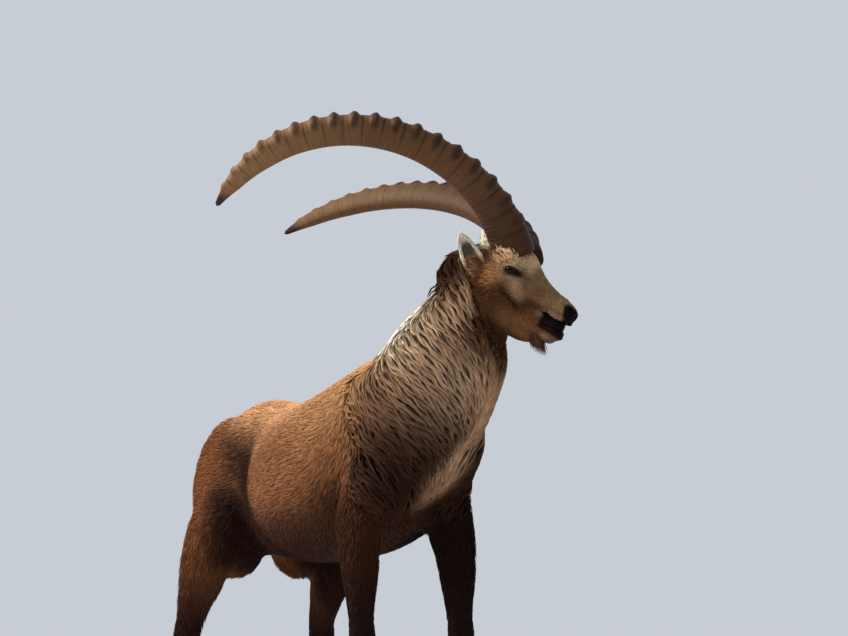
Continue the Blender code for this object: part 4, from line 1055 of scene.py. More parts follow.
def coat_piece(name, paths, ups, widths, colours, roots_uv, shape, fade):
    """Tufts as meshes of under 200,000 triangles each, coloured from root to tip."""
    steps = paths.shape[1]
    each = 6 * (steps - 2) + 4
    most = MOST_TRIANGLES // each
    made = []
    for number, start in enumerate(range(0, len(paths), most)):
        part = slice(start, start + most)
        verts, faces, per = tuft_mesh(paths[part], ups[part], widths[part], shape)
        mesh = bpy.data.meshes.new(name)
        mesh.vertices.add(len(verts))
        mesh.vertices.foreach_set("co", (verts + SHIFT).astype(np.float32).ravel())
        mesh.loops.add(3 * len(faces))
        mesh.loops.foreach_set("vertex_index", faces.astype(np.int32).ravel())
        mesh.polygons.add(len(faces))
        mesh.polygons.foreach_set("loop_start", np.arange(0, 3 * len(faces), 3, dtype=np.int32))
        mesh.polygons.foreach_set("use_smooth", np.ones(len(faces), bool))
        mesh.update(calc_edges=True)
        obj = bpy.data.objects.new(f"{name}_{number + 1}", mesh)
        bpy.context.scene.collection.objects.link(obj)
        level = np.append(np.repeat(np.arange(steps - 1), 3), steps - 1)
        # Roots darker than tips: partly the hair's own darker roots, partly painted shade deep in the coat
        shades = colours[part][:, None, :] * np.array(fade)[level][None, :, None]
        paint(obj, np.clip(shades.reshape(-1, 3), 0, 1))
        corner = np.stack([np.append(np.tile([0.0, 1.0, 0.5], steps - 1), 0.5), level / (steps - 1)], 1)
        uv = roots_uv[part][:, None, :] + corner[None] * 0.003
        layer = mesh.uv_layers.new(name="OFBake")
        layer.data.foreach_set("uv", uv.reshape(-1, 2)[faces.ravel()].astype(np.float32).ravel())
        mesh.materials.append(COAT)
        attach(obj, "root")
        made.append(obj)
    print(name, len(paths), "tufts in", len(made), "pieces")
    return made


def combed(places, ups, ways, lengths, lifts, droop, steps):
    """Paths of tufts that rise by their lift and bow back towards the skin."""
    t = np.linspace(0, 1, steps)[None, :, None]
    rise = lifts[:, None, None] * (t - droop * t ** 2)
    length = lengths[:, None, None]
    start = places - ups * np.minimum(0.0015, 0.08 * lengths)[:, None]
    return start[:, None, :] + ways[:, None, :] * length * t + ups[:, None, :] * length * rise


def swayed(ways, ups, amount):
    """Turns each way a little about the skin's normal."""
    angle = random.normal(0, amount, len(ways))[:, None]
    return ways * np.cos(angle) + np.cross(ups, ways) * np.sin(angle)

# %% [markdown]
# ## Materials of skin and hair
#
# Both read the painted colour. The skin adds a fine combed bump, which stands for the short flat hair
# between the tufts, and small changes of tone as real coats have. A winter coat is dull, so nearly all gloss
# is taken out: with the usual gloss the pale room would turn the browns pink.

# %% Coat materials
def principled(name, roughness, specular=0.3):
    made = bpy.data.materials.new(name)
    made.use_nodes = True
    shader = made.node_tree.nodes["Principled BSDF"]
    shader.inputs["Roughness"].default_value = roughness
    shader.inputs["Specular IOR Level"].default_value = specular
    return made, made.node_tree.nodes, made.node_tree.links, shader


def add_node(nodes, kind, **settings):
    made = nodes.new(kind)
    for key, value in settings.items():
        if key in made.inputs:
            made.inputs[key].default_value = value
        else:
            setattr(made, key, value)
    return made


def coat_material(name, bump):
    made, nodes, links, shader = principled(name, 0.80, 0.07)
    colour = add_node(nodes, "ShaderNodeAttribute", attribute_name="coat_colour")
    place = add_node(nodes, "ShaderNodeTexCoord")
    mottle = add_node(nodes, "ShaderNodeTexNoise", Scale=34.0, Detail=5.0, Roughness=0.6)
    tone = add_node(nodes, "ShaderNodeMapRange")
    tone.inputs["From Min"].default_value = 0.25
    tone.inputs["From Max"].default_value = 0.75
    tone.inputs["To Min"].default_value = 0.78
    tone.inputs["To Max"].default_value = 1.22
    toned = add_node(nodes, "ShaderNodeVectorMath", operation="SCALE")
    links.new(place.outputs["Object"], mottle.inputs["Vector"])
    links.new(mottle.outputs["Fac"], tone.inputs["Value"])
    links.new(colour.outputs["Color"], toned.inputs[0])
    links.new(tone.outputs["Result"], toned.inputs["Scale"])
    links.new(toned.outputs["Vector"], shader.inputs["Base Color"])
    if bump:
        stretch = add_node(nodes, "ShaderNodeMapping")
        stretch.inputs["Scale"].default_value = (90.0, 420.0, 260.0)
        hairs = add_node(nodes, "ShaderNodeTexNoise", Scale=1.0, Detail=4.0, Roughness=0.7)
        relief = add_node(nodes, "ShaderNodeBump", Strength=0.55, Distance=0.0015)
        links.new(place.outputs["Object"], stretch.inputs["Vector"])
        links.new(stretch.outputs["Vector"], hairs.inputs["Vector"])
        links.new(hairs.outputs["Fac"], relief.inputs["Height"])
        links.new(relief.outputs["Normal"], shader.inputs["Normal"])
    return made


SKIN = coat_material("skin", True)
COAT = coat_material("hair", False)

# %% [markdown]
# ## Horns
#
# The horns of an old male sweep back over 80 cm and carry a knob for each half year of growth on their front
# face. The same curve and sizes that drew the solids draw them here with finer rings, and the material adds
# the fine growth grooves between the knobs.

# %% Horn shape
HORN_BASE_APART = 0.039
HORN_BASE_FORWARD = 0.099
HORN_BASE_UP = 0.005
HORN_SUNK = 0.018
HORN_WIDTH_TO_DEPTH = 0.74
HORN_KNOBS = 18
HORN_DEPTH = ((0.0, 0.095), (0.1, 0.083), (0.2, 0.076), (0.35, 0.071), (0.5, 0.069), (0.65, 0.065),
              (0.8, 0.056), (0.92, 0.038), (1.0, 0.012))
# Length, start angle, curl along the length, backward spread, outward lean, how far the tips turn in
HORN_CURVES = {
    "right": (0.836, 0.200, (3.295, -1.328, 0.298), 0.417, 0.541, 0.089),
    "left": (0.836, 0.389, (2.217, -1.339, 1.076), 0.410, 0.585, 0.105),
}
HORN_SIDES = 40


def horn_line(side, shares):
    """The middle of a horn at each share of its length, in the frame of the head."""
    length, start, curl, spread, lean, inward = HORN_CURVES[side]
    fine = np.linspace(0, 1, 400)
    angle = start + sum(c * fine ** (k + 1) for k, c in enumerate(curl))
    step = length / 399
    back = np.concatenate([[0], np.cumsum(np.sin((angle[1:] + angle[:-1]) / 2) * step)])
    rise = np.concatenate([[0], np.cumsum(np.cos((angle[1:] + angle[:-1]) / 2) * step)])
    out = HORN_BASE_APART + back * math.sin(spread) + rise * math.sin(lean) - inward * fine ** 2
    ahead = HORN_BASE_FORWARD - back * math.cos(spread)
    up = HORN_BASE_UP + rise * math.cos(lean)
    points = np.stack([ahead, SIDES[side] * out, up], 1)
    return np.stack([np.interp(shares, fine, points[:, k]) for k in range(3)], 1)


def knob_height(shares):
    """How far the knobs stand out of the front face at each share of the length."""
    pitch = 0.94 / HORN_KNOBS
    place = (shares - 0.035) / pitch
    number = np.floor(place)
    part = place - number - 0.5
    middle = np.clip((number + 0.5) / HORN_KNOBS, 0.001, 1)
    tall = 0.003 + 0.0045 * np.sin(math.pi * middle ** 0.8)
    profile = np.interp(part, [-0.30, -0.12, -0.02, 0.10, 0.27], [0, 0.80, 1.0, 0.68, 0])
    return np.where((number >= 0) & (number < HORN_KNOBS), tall * profile, 0.0)


def near_horn(points):
    """1 where the hide meets a horn, 0 from 16 mm away, and the way that horn grows there."""
    most, ways = np.zeros(len(points)), np.zeros((len(points), 3))
    turn = np.array(HEAD_FRAME)
    for side in SIDES:
        line = horn_line(side, np.linspace(0, 0.08, 9)) @ turn[:3, :3].T + turn[:3, 3]
        gap = np.linalg.norm(points[:, None, :] - line[None], axis=2).min(1)
        near = ramp(gap, 0.060, 0.044)
        way = (line[-1] - line[0]) / np.linalg.norm(line[-1] - line[0])
        ways = np.where((near > most)[:, None], way, ways)
        most = np.maximum(most, near)
    return most, ways


def horn(side):
    shares = np.linspace(0.0, 1.0, 300)
    points = horn_line(side, shares)
    start = (points[1] - points[0]) / np.linalg.norm(points[1] - points[0])
    points = np.vstack([points[0] - start * HORN_SUNK, points])
    shares = np.concatenate([[0.0], shares])
    forward = np.gradient(points, axis=0)
    forward /= np.linalg.norm(forward, axis=1, keepdims=True)
    inward = forward[-30] - forward[16]
    knobs = knob_height(shares)
    rings = []
    angle = 2 * math.pi * (np.arange(HORN_SIDES) + 0.5) / HORN_SIDES
    front = np.sin(angle)
    narrowing = 0.76 + 0.24 * np.minimum(1.0, 1.0 + front)
    for i, point in enumerate(points):
        ahead = -inward + forward[i] * inward.dot(forward[i])
        ahead /= np.linalg.norm(ahead)
        across = np.cross(forward[i], ahead)
        depth = np.interp(shares[i], *zip(*HORN_DEPTH)) / 2
        width = depth * HORN_WIDTH_TO_DEPTH
        ripple = 0.0006 * math.sin(shares[i] * 520) * (1 - shares[i])
        wide = np.sign(np.cos(angle)) * np.abs(np.cos(angle)) ** 0.75 * width * narrowing
        deep = np.sign(front) * np.abs(front) ** 0.85 * depth
        raised = knobs[i] * np.clip((front + 0.1) / 0.6, 0, 1)
        grow = 1.0 + (raised * 0.25 + ripple) / np.hypot(wide, deep)
        rings.append(point + np.outer(wide * grow, across) + np.outer(deep * grow + raised, ahead))
    verts = np.vstack(rings + [points[-1] + forward[-1] * 0.006, points[0]])
    n = HORN_SIDES
    faces = [
        (i * n + j, i * n + (j + 1) % n, (i + 1) * n + (j + 1) % n, (i + 1) * n + j)
        for i in range(len(points) - 1)
        for j in range(n)
    ]
    tip, root, last = len(verts) - 2, len(verts) - 1, (len(points) - 1) * n
    faces.extend((last + j, last + (j + 1) % n, tip) for j in range(n))
    faces.extend(((j + 1) % n, j, root) for j in range(n))
    made = mesh_object(f"horn_ridged_{side}", verts, faces)
    face_outwards(made)
    share = np.append(np.repeat(shares, n), [1.0, 0.0])
    knob = np.append(np.repeat(knobs, n) * np.tile(np.clip((front + 0.1) / 0.6, 0, 1), len(points)),
                     [0.0, 0.0])
    low, middle, high = linear(62, 36, 19), linear(90, 59, 33), linear(126, 93, 60)
    colours = mix(low, middle, ramp(share, 0.0, 0.30)[:, None])
    colours = mix(colours, high, ramp(share, 0.35, 0.9)[:, None])
    colours = blend(colours, linear(50, 34, 32), ramp(share, 0.94, 0.99))
    turn = np.append(np.tile(front, len(points)), [0.0, 0.0])
    part = (share - 0.035) * HORN_KNOBS / 0.94 % 1.0
    ring_line = np.exp(-((part - 0.06) / 0.05) ** 2) * (0.25 + 0.45 * ramp(turn, -0.6, 0.6))
    colours = colours * (1 - ring_line * ramp(share, 0.0, 0.03))[:, None]
    colours = colours * (1 - 0.62 * ramp(knob, 0.0015, 0.0055))[:, None]
    # Painted shade: the left horn, the far one, is painted darker than the right
    colours = colours * (0.68 if side == "left" else 1.0)
    paint(made, colours)
    # Along and round the horn, for the growth grooves
    flow = np.stack([share * 0.84, np.append(np.tile(angle, len(points)), [0, 0]) * 0.03,
                     np.zeros(len(share))], 1)
    layer = made.data.attributes.new("flow", "FLOAT_VECTOR", "POINT")
    layer.data.foreach_set("vector", flow.astype(np.float32).ravel())
    return moved(made, HEAD_FRAME)


# %% Horn material
keratin, nodes, links, shader = principled("horn_keratin", 0.55, 0.14)
colour = add_node(nodes, "ShaderNodeAttribute", attribute_name="coat_colour")
flow = add_node(nodes, "ShaderNodeAttribute", attribute_name="flow")
grooves = add_node(nodes, "ShaderNodeMapping")
grooves.inputs["Scale"].default_value = (260.0, 22.0, 1.0)
rings = add_node(nodes, "ShaderNodeTexNoise", Scale=1.0, Detail=3.0, Roughness=0.6)
fibres = add_node(nodes, "ShaderNodeMapping")
fibres.inputs["Scale"].default_value = (26.0, 420.0, 1.0)
grain = add_node(nodes, "ShaderNodeTexNoise", Scale=1.0, Detail=4.0, Roughness=0.65)
both = add_node(nodes, "ShaderNodeMath", operation="ADD")
relief = add_node(nodes, "ShaderNodeBump", Strength=0.7, Distance=0.0012)
tone = add_node(nodes, "ShaderNodeMapRange")
tone.inputs["From Min"].default_value = 0.7
tone.inputs["From Max"].default_value = 1.3
tone.inputs["To Min"].default_value = 0.62
tone.inputs["To Max"].default_value = 1.32
toned = add_node(nodes, "ShaderNodeVectorMath", operation="SCALE")
links.new(flow.outputs["Vector"], grooves.inputs["Vector"])
links.new(flow.outputs["Vector"], fibres.inputs["Vector"])
links.new(grooves.outputs["Vector"], rings.inputs["Vector"])
links.new(fibres.outputs["Vector"], grain.inputs["Vector"])
links.new(rings.outputs["Fac"], both.inputs[0])
links.new(grain.outputs["Fac"], both.inputs[1])
links.new(both.outputs["Value"], relief.inputs["Height"])
links.new(relief.outputs["Normal"], shader.inputs["Normal"])
links.new(both.outputs["Value"], tone.inputs["Value"])
links.new(colour.outputs["Color"], toned.inputs[0])
links.new(tone.outputs["Result"], toned.inputs["Scale"])
links.new(toned.outputs["Vector"], shader.inputs["Base Color"])
for side in SIDES:
    made = shaded_smooth(moved(horn(side), TO_PART))
    made.data.materials.append(keratin)
    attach(made, "root")
    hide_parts(f"horn_{side}")
    print(made.name, len(made.data.polygons), "faces")

# %% [markdown]
# ## Dress the skin
#
# Skin and ears stand for the flesh nodes of the part, which are hidden but stay in the physics model.

# %% Skin, ears and what they replace
tuft_bases = {"body": body.copy(), "head": head.copy()}
for key in ("body", "head"):
    tuft_bases[key].data = tuft_bases[key].data.copy()
FLESH = ["torso", "neck", "head", "tail"]
FLESH += [f"{pair}leg_{part}_{side}" for pair in ("fore", "hind") for part in ("upper", "lower")
          for side in SIDES]
skin = joined("skin", [body, head])
# Painted shade: the skin is painted darker than the hair, so the gaps between tufts read dark
paint(skin, coat_colours(points_of(skin)) * 0.74)
skin.data.materials.clear()
skin.data.materials.append(SKIN)
shaded_smooth(moved(skin, TO_PART))
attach(skin, "root")
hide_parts(*FLESH)


def ear_axes(side):
    """The root of an ear, the way it points and the way it opens, in the frame of the face."""
    sign = SIDES[side]
    root, lie, mouth = (Vector((v[0], sign * v[1], v[2])) for v in (EAR_ROOT, EAR_LIE, EAR_MOUTH))
    lie.normalize()
    mouth = (mouth - lie * mouth.dot(lie)).normalized()
    return np.array(root), np.array(lie), np.array(mouth)


def ear_colours(points, normals, side):
    """Nearly white rims round a dark hollow, and tan behind. Also the share of the length at each point."""
    root, lie, mouth = ear_axes(side)
    local = in_face(points) - root
    share, out = local @ lie / EAR_LENGTH, local @ mouth
    within = ramp(normals @ (FACE_MATRIX[:3, :3] @ mouth), -0.1, 0.3)
    hollow = ramp(out, -1.25, -1.65) * ramp(share, 0.78, 0.55)
    made = mix(EAR_BACK, mix(EAR_INSIDE, EAR_HOLLOW, hollow[:, None]), within[:, None])
    made = blend(made, EAR_BACK, ramp(share, 0.34, 0.14) * 0.9)
    rim = ramp(out, -1.2, -0.7) * ramp(share, 0.10, 0.30) + ramp(share, 0.74, 0.90)
    return blend(made, EAR_RIM, rim), within, share


for side, made in ears.items():
    colours, within, share = ear_colours(points_of(made), normals_of(made), side)
    paint(made, colours * 0.85)
    tuft_bases[f"ear_{side}"] = made.copy()
    tuft_bases[f"ear_{side}"].data = made.data.copy()
    made.data.materials.clear()
    made.data.materials.append(SKIN)
    shaded_smooth(moved(made, TO_PART))
    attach(made, "root")
    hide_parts(f"ear_{side}")
print("skin", len(skin.data.polygons), "faces")

# %% [markdown]
# ## The short coat
#
# On back, flanks, haunches and legs the hair is 2 to 3 cm long and lies close. It breaks the outline only
# a little, so the tufts are low. They are shortest on the shins and the face.

# %% Short hair of body and legs
def shoot(name, count, density, length, width, lift, base, steps=3, shape=(1.0, 0.8, 0.0),
          fade=(0.80, 1.0, 1.08), tone=0.08, stray=0.14, droop=0.60):
    """Plants short tufts on a base mesh, with their size and lift given by place."""
    places, ups = scattered(base, count, density)
    ways = swayed(lie_of_coat(places, ups), ups, stray)
    near, up_horn = near_horn(places)
    ways = mix(ways, up_horn, 0.6 * near[:, None])
    size = random.uniform(0.75, 1.25, count)
    lengths = length(places) * size * (1 + 0.15 * near)
    paths = combed(places, ups, ways, lengths, lift(places), droop, steps)
    rings = np.repeat(ups[:, None, :], steps, 1)
    colours = coat_colours(places) * (1 + random.normal(0, tone, count))[:, None]
    return coat_piece(name, paths, rings, width(places) * size ** 0.5, colours, unwrap(places),
                      shape, fade)


def body_density(p, n):
    return 1.0 - 0.96 * neck_share(p) * ramp(p[:, 2], 0.66, 0.74) + 0.25 * ramp(p[:, 2], 0.5, 0.3)


def body_length(p):
    return mix(0.026, 0.015, ramp(p[:, 2], 0.52, 0.36)) + 0.010 * ramp(p[:, 0], -0.36, -0.50)


def body_width(p):
    return mix(0.0030, 0.0022, ramp(p[:, 2], 0.52, 0.36))


def body_lift(p):
    return mix(0.42, 0.34, ramp(p[:, 2], 0.52, 0.36))


coats = shoot("coat_body", 46000, body_density, body_length, body_width, body_lift,
              tuft_bases["body"])


# %% Short hair of the face
def face_density(p, n):
    local = in_face(p)
    u, v, w = local[:, 0], np.abs(local[:, 1]), local[:, 2]
    gap = np.interp(u, [19.0, 21.5, 24.0, 26.4, 28.3], [-4.6, -4.3, -4.1, -3.9, -3.5])
    bare = ramp(u, 21.4, 22.4) * ramp(w, gap + 1.0, gap + 0.6) * ramp(w, -7.4, -6.8)
    bare = np.maximum(bare, ramp(u + 0.25 * w, 25.4, 26.0) * ramp(w, -4.1, -3.5))
    bare = np.maximum(bare, spot(local, (12.3, 5.9, 0.5), (2.7, 3.0, 1.35), 3.0) > 0.4)
    return (1.0 - bare) * (1 + 0.8 * ramp(u, 14, 18))


def face_length(p):
    local = in_face(p)
    made = mix(0.014, 0.0072, ramp(local[:, 0], 8.0, 18.0))
    return made + 0.008 * ramp(local[:, 0], 3.0, 0.0) * ramp(local[:, 2], 2.0, 0.0)


coats += shoot("coat_face", 22000, face_density, face_length,
               lambda p: mix(0.0022, 0.0013, ramp(in_face(p)[:, 0], 8.0, 18.0)),
               lambda p: np.full(len(p), 0.62), tuft_bases["head"], fade=(0.75, 1.0, 1.15),
               tone=0.15)

# %% [markdown]
# ## The long coat of the neck
#
# From the jaw to the shoulders hangs the long winter coat. Its hairs cling together in wavy locks
# a finger's breadth apart, light on their crests and dark in between, and the eye reads those dark
# gaps first. So each lock is a bundle of strands that share one wavy path and meet at the tip.
# The crests are painted lighter and the roots darker as well: painted highlight and painted shade, over the
# hair's own darker roots.

# %% Long locks
LOCK_SPACING = 0.0108
STRANDS = 11
hide = BVHTree.FromPolygons([Vector(p) for p in points_of(tuft_bases["body"])],
                            [list(p.vertices) for p in tuft_bases["body"].data.polygons])


def on_hide(points):
    """The nearest points of the skin, and the ways out of it there."""
    found = [hide.find_nearest(Vector(p)) for p in points]
    return np.array([f[0] for f in found]), np.array([f[1] for f in found])


def spaced(places, distance):
    """Picks places that keep that distance from each other."""
    kept, cells = [], {}
    for i, p in enumerate(places):
        cell = tuple((p / distance).astype(int))
        near = [cells.get((cell[0] + a, cell[1] + b, cell[2] + c), ())
                for a in (-1, 0, 1) for b in (-1, 0, 1) for c in (-1, 0, 1)]
        if all(((places[j] - p) ** 2).sum() > distance ** 2 for group in near for j in group):
            cells.setdefault(cell, []).append(i)
            kept.append(i)
    return np.array(kept)


def long_locks():
    places, ups = scattered(tuft_bases["body"], 34000, lambda p, n: neck_share(p) + 1e-9)
    grown = (neck_share(places) > 0.12) & (ups @ np.array(PARTING_NORMAL) < 0.9)
    places, ups = places[grown], ups[grown]
    kept = spaced(places, LOCK_SPACING)
    places, ups = places[kept], ups[kept]
    share = neck_share(places)
    steps = 7
    lengths = mix(0.022, 0.076, ramp(share, 0.08, 0.95)) * random.uniform(0.85, 1.15, len(kept))
    phase = random.uniform(0, 2 * math.pi, len(kept))
    lift = mix(0.003, 0.014, ramp(share, 0.1, 0.95))
    top = np.clip(ups[:, 2] - 0.7 * ups[:, 0], 0, 1)
    lift *= 1 - 0.55 * ramp(top, 0.3, 0.9)
    nape = ramp(in_face(places)[:, 0], -9.0, -2.0) * ramp(top, 0.2, 0.6)
    lift *= 1 - 0.75 * nape
    lengths *= 1 - 0.45 * nape
    path, normals, waves = [], [], []
    point = places
    for i in range(steps):
        t = i / (steps - 1)
        foot, up = on_hide(point)
        if i == 0:
            up = ups
        way = lie_of_coat(foot, up)
        wave = 0.0022 * math.sin(math.pi * t) + 0.0030 * t
        side = np.cross(up, way) * (wave * np.sin(phase + 6.5 * t))[:, None]
        height = lift * (0.15 + 0.95 * math.sin(math.pi * min(1.0, 0.15 + 0.62 * t))) - 0.002 * (i == 0)
        path.append(foot + side + up * height[:, None])
        normals.append(up)
        waves.append(way)
        point = foot + way * (lengths / (steps - 1))[:, None]
    path, normals = np.stack(path, 1), np.stack(normals, 1)
    waves = np.stack(waves, 1)
    return places, path, normals, waves, share


def bundle(places, path, normals, waves, share):
    """Several strands round each lock's path, apart at the root and together at the tip."""
    count, steps, _ = path.shape
    t = np.linspace(0, 1, steps)[None, :, None]
    side = np.cross(normals, waves)
    paths, ups, widths, colours, roots = [], [], [], [], []
    base = coat_colours(places)
    lock_tone = 1 + random.normal(0, 0.10, count)
    for k in range(STRANDS):
        turn = 2 * math.pi * k / STRANDS + random.uniform(-0.5, 0.5, count)
        spread = random.uniform(0.5, 1.0, count) * 0.0050
        apart = (1 - 0.80 * t ** 0.8)
        out = (side * np.cos(turn)[:, None, None] + normals * (np.sin(turn) * 0.55)[:, None, None])
        grown = 1 - random.uniform(0.0, 0.22, count)[:, None, None] * t
        strand = path[:, :1] + (path - path[:, :1]) * grown + out * spread[:, None, None] * apart
        paths.append(strand)
        ups.append(normals)
        widths.append(np.full(count, 0.0023) * random.uniform(0.8, 1.25, count))
        # Painted highlight and shade: strands on the lock's outer side are lighter, those underneath darker
        crest_light_shade = 1 + 0.22 * np.sin(turn)
        colours.append(base * (lock_tone * crest_light_shade)[:, None])
        roots.append(places)
    paths, ups = np.concatenate(paths), np.concatenate(ups)
    order = np.argsort(np.tile(np.arange(count), STRANDS), kind="stable")
    widths, colours = np.concatenate(widths)[order], np.concatenate(colours)[order]
    return paths[order], ups[order], widths, colours, np.concatenate(roots)[order]


places, path, normals, waves, share = long_locks()
paths, ups, widths, colours, roots = bundle(places, path, normals, waves, share)
# The locks' roots are painted much darker than their tips: partly the hair's darker roots, partly painted
# shade between the locks
coats += coat_piece("coat_neck", paths, ups, widths, colours, unwrap(roots),
                    (0.9, 1.0, 0.95, 0.85, 0.7, 0.45, 0.0),
                    (0.22, 0.42, 0.70, 0.95, 1.10, 1.20, 1.25))
print("long locks", len(places))


# %% [markdown]
# ## Beard, tail brush and ear hair
#
# A beard of a few centimetres hangs from the chin, a dark brush runs out past the tip of the tail, and
# fine pale hair fills the ears.

# %% Beard and tail
def hanging(name, starts, way, length, spread, width, colour, steps=6):
    """Tufts that hang freely from their roots, with a little wave."""
    count = len(starts)
    t = np.linspace(0, 1, steps)[None, :, None]
    lengths = (length * random.uniform(0.6, 1.1, count))[:, None, None]
    ways = np.array(way) + random.normal(0, spread, (count, 3))
    ways /= np.linalg.norm(ways, axis=1, keepdims=True)
    sway = np.cross(ways, (0.3, 0.9, 0.2))[:, None, :] * np.sin(
        5 * t + random.uniform(0, 6, count)[:, None, None]) * 0.0012
    fall = np.array((0, 0, -1.0)) * 0.25 * t ** 2
    paths = starts[:, None, :] + (ways[:, None, :] * t + fall) * lengths + sway
    ups = np.tile(np.array((0.5, -0.8, 0.2)), (count, steps, 1)) + random.normal(0, 0.2, (count, 1, 3))
    colours = np.tile(colour, (count, 1)) * (1 + random.normal(0, 0.18, count))[:, None]
    return coat_piece(name, paths, ups, np.full(count, width), colours, unwrap(starts),
                      (0.8, 1.0, 0.9, 0.7, 0.4, 0.0), (0.8, 0.9, 1.0, 1.05, 1.1, 1.15))


count = 360
chin = np.stack([random.uniform(20.6, 24.0, count), random.normal(0, 0.75, count),
                 random.uniform(-8.6, -7.8, count)], 1) * CM
chin = chin @ FACE_MATRIX[:3, :3].T + FACE_MATRIX[:3, 3]
ahead = FACE_MATRIX[:3, 0]
coats += hanging("coat_beard", chin, np.array((0, 0, -1.0)) + ahead * 0.45, 0.034, 0.12, 0.0016,
                 BEARD_BROWN)

tail_row = np.array([row[:3] for row in tail_stations()])[2:]
count = 900
along = random.uniform(0, len(tail_row) - 1.001, count)
low = along.astype(int)
middle = tail_row[low] + (tail_row[low + 1] - tail_row[low]) * (along - low)[:, None]
round_tail = random.uniform(0, 2 * math.pi, count)
middle += np.stack([0.010 * np.cos(round_tail), 0.016 * np.sin(round_tail), 0 * along], 1)
coats += hanging("coat_tail", middle, (-0.22, 0.0, -1.0), 0.048, 0.12, 0.0040, TAIL_DARK)

# %% Ear hair
for side in SIDES:
    root, lie, mouth = ear_axes(side)
    places, ups = scattered(tuft_bases[f"ear_{side}"], 3400, lambda p, n: np.ones(len(p)))
    colours, within, share = ear_colours(places, ups, side)
    grown = share > 0.02
    places, ups, colours, within, share = (part[grown] for part in (places, ups, colours, within, share))
    lie = FACE_MATRIX[:3, :3] @ lie
    ways = lie - ups * (ups @ lie)[:, None]
    ways = swayed(ways / np.maximum(np.linalg.norm(ways, axis=1, keepdims=True), 1e-6), ups, 0.2)
    lengths = mix(0.008, 0.012, within) * random.uniform(0.7, 1.2, len(places)) * (1 - 0.4 * share)
    paths = combed(places + ups * 0.0012, ups, ways, lengths, mix(0.25, 0.45, within), 0.5, 3)
    left, bottom, width, height = EAR_SHEETS[side]
    across = (in_face(places) - root) @ np.cross(lie, mouth) / 6 + 0.5
    sheet = np.stack([left + width * np.clip(share, 0, 1), bottom + height * np.clip(across, 0, 1)], 1)
    coats += coat_piece(f"coat_ear_{side}", paths, np.repeat(ups[:, None], 3, 1),
                        np.full(len(places), 0.0016), colours, sheet, (1.0, 0.8, 0.0),
                        (0.9, 1.0, 1.1))
for coat in coats:
    if coat.name.startswith(("coat_neck", "coat_beard")):
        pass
    elif coat.name.startswith("coat_ear"):
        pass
    elif coat.name.startswith("coat_face"):
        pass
    elif coat.name.startswith("coat_tail"):
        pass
    else:
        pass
for spare in (tuft_bases["body"], tuft_bases["head"]):
    bpy.data.objects.remove(spare)
for side in SIDES:
    bpy.data.objects.remove(tuft_bases[f"ear_{side}"])
print("coat", sum(len(coat.data.polygons) for coat in coats), "triangles")

# %% [markdown]
# ## Eyeballs
#
# An eyeball is a glossy ball with an amber iris and a level slot for a pupil, nearly black in the shade of
# the lids. Each point stores where it lies across the eye, so the pattern can't slide.

# %% Eyeballs
eye_finish, nodes, links, shader = principled("eye", 0.18, 0.07)
colour = add_node(nodes, "ShaderNodeAttribute", attribute_name="coat_colour")
links.new(colour.outputs["Color"], shader.inputs["Base Color"])
for side, sign in SIDES.items():
    bpy.ops.mesh.primitive_uv_sphere_add(segments=64, ring_count=48, radius=EYE_RADIUS * CM)
    eyeball = bpy.context.active_object
    eyeball.name = f"eyeball_{side}"
    eyeball.select_set(False)
    local = points_of(eyeball) / (EYE_RADIUS * CM)
    across = np.hypot(local[:, 0], local[:, 2])
    outer = local[:, 1] * sign > 0
    iris = ramp(across, 0.80, 0.76) * outer
    streaks = 1 + 0.25 * np.sin(np.arctan2(local[:, 2], local[:, 0]) * 23) * ramp(across, 0.1, 0.4)
    colours = np.tile(linear(38, 22, 16), (len(local), 1))
    colours = blend(colours, linear(62, 34, 16), iris) * mix(1, streaks, iris)[:, None]
    colours = blend(colours, linear(26, 14, 10), ramp(across, 0.64, 0.78) * iris)
    pupil = ramp(np.abs(local[:, 0]), 0.56, 0.50) * ramp(np.abs(local[:, 2]), 0.24, 0.19) * outer
    colours = blend(colours, linear(5, 4, 4), pupil)
    paint(eyeball, colours)
    eyeball.data.materials.append(eye_finish)
    turn = Matrix.Translation(eye_place(sign)) @ Matrix.Rotation(EYE_TILT, 4, "Y")
    moved(eyeball, TO_PART @ FACE_FRAME @ turn)
    shaded_smooth(eyeball)
    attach(eyeball, "root")
    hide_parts(f"eye_{side}")

# %% [markdown]
# ## Inside the mouth
#
# Between the open jaws the inside of the cheeks and the tongue close off the view. One soft form does that,
# drawn with oval rings like the skull, dark above and a deep wet red below, where the tongue lies.

# %% Mouth and tongue
# Along the head: middle height, half width, top and bottom, in centimetres
MOUTH = [
    (17.0, -4.4, 1.6, -3.4, -5.2), (18.5, -4.5, 1.9, -3.2, -5.6), (20.5, -4.5, 1.9, -3.2, -5.8),
    (22.5, -4.4, 1.8, -2.9, -6.0), (24.5, -4.3, 1.7, -2.6, -6.0), (26.2, -4.1, 1.4, -2.5, -5.7),
    (27.3, -3.9, 0.8, -2.8, -5.1),
]
wet, nodes, links, shader = principled("mouth_lining", 0.6, 0.06)
colour = add_node(nodes, "ShaderNodeAttribute", attribute_name="coat_colour")
links.new(colour.outputs["Color"], shader.inputs["Base Color"])
mouth = loft("mouth", head_stations(MOUTH), (0, 0, 1), sides=32)
heights = points_of(mouth)[:, 2] / CM
# Painted shade: the lining is nearly black above, where the mouth lies in shade, over the tongue's deep red
# below
paint(mouth, mix(linear(40, 14, 14), linear(9, 5, 5), ramp(heights, -5.6, -4.4)[:, None]))
moved(mouth, TO_PART @ FACE_FRAME)
mouth.data.materials.append(wet)
shaded_smooth(mouth)
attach(mouth, "root")

# %% [markdown]
# ## Hooves
#
# The hooves of the part have the right shape, so they stay. Blender's Weld and Bevel round their edges, and
# a material gives the dull black horn its growth rings.

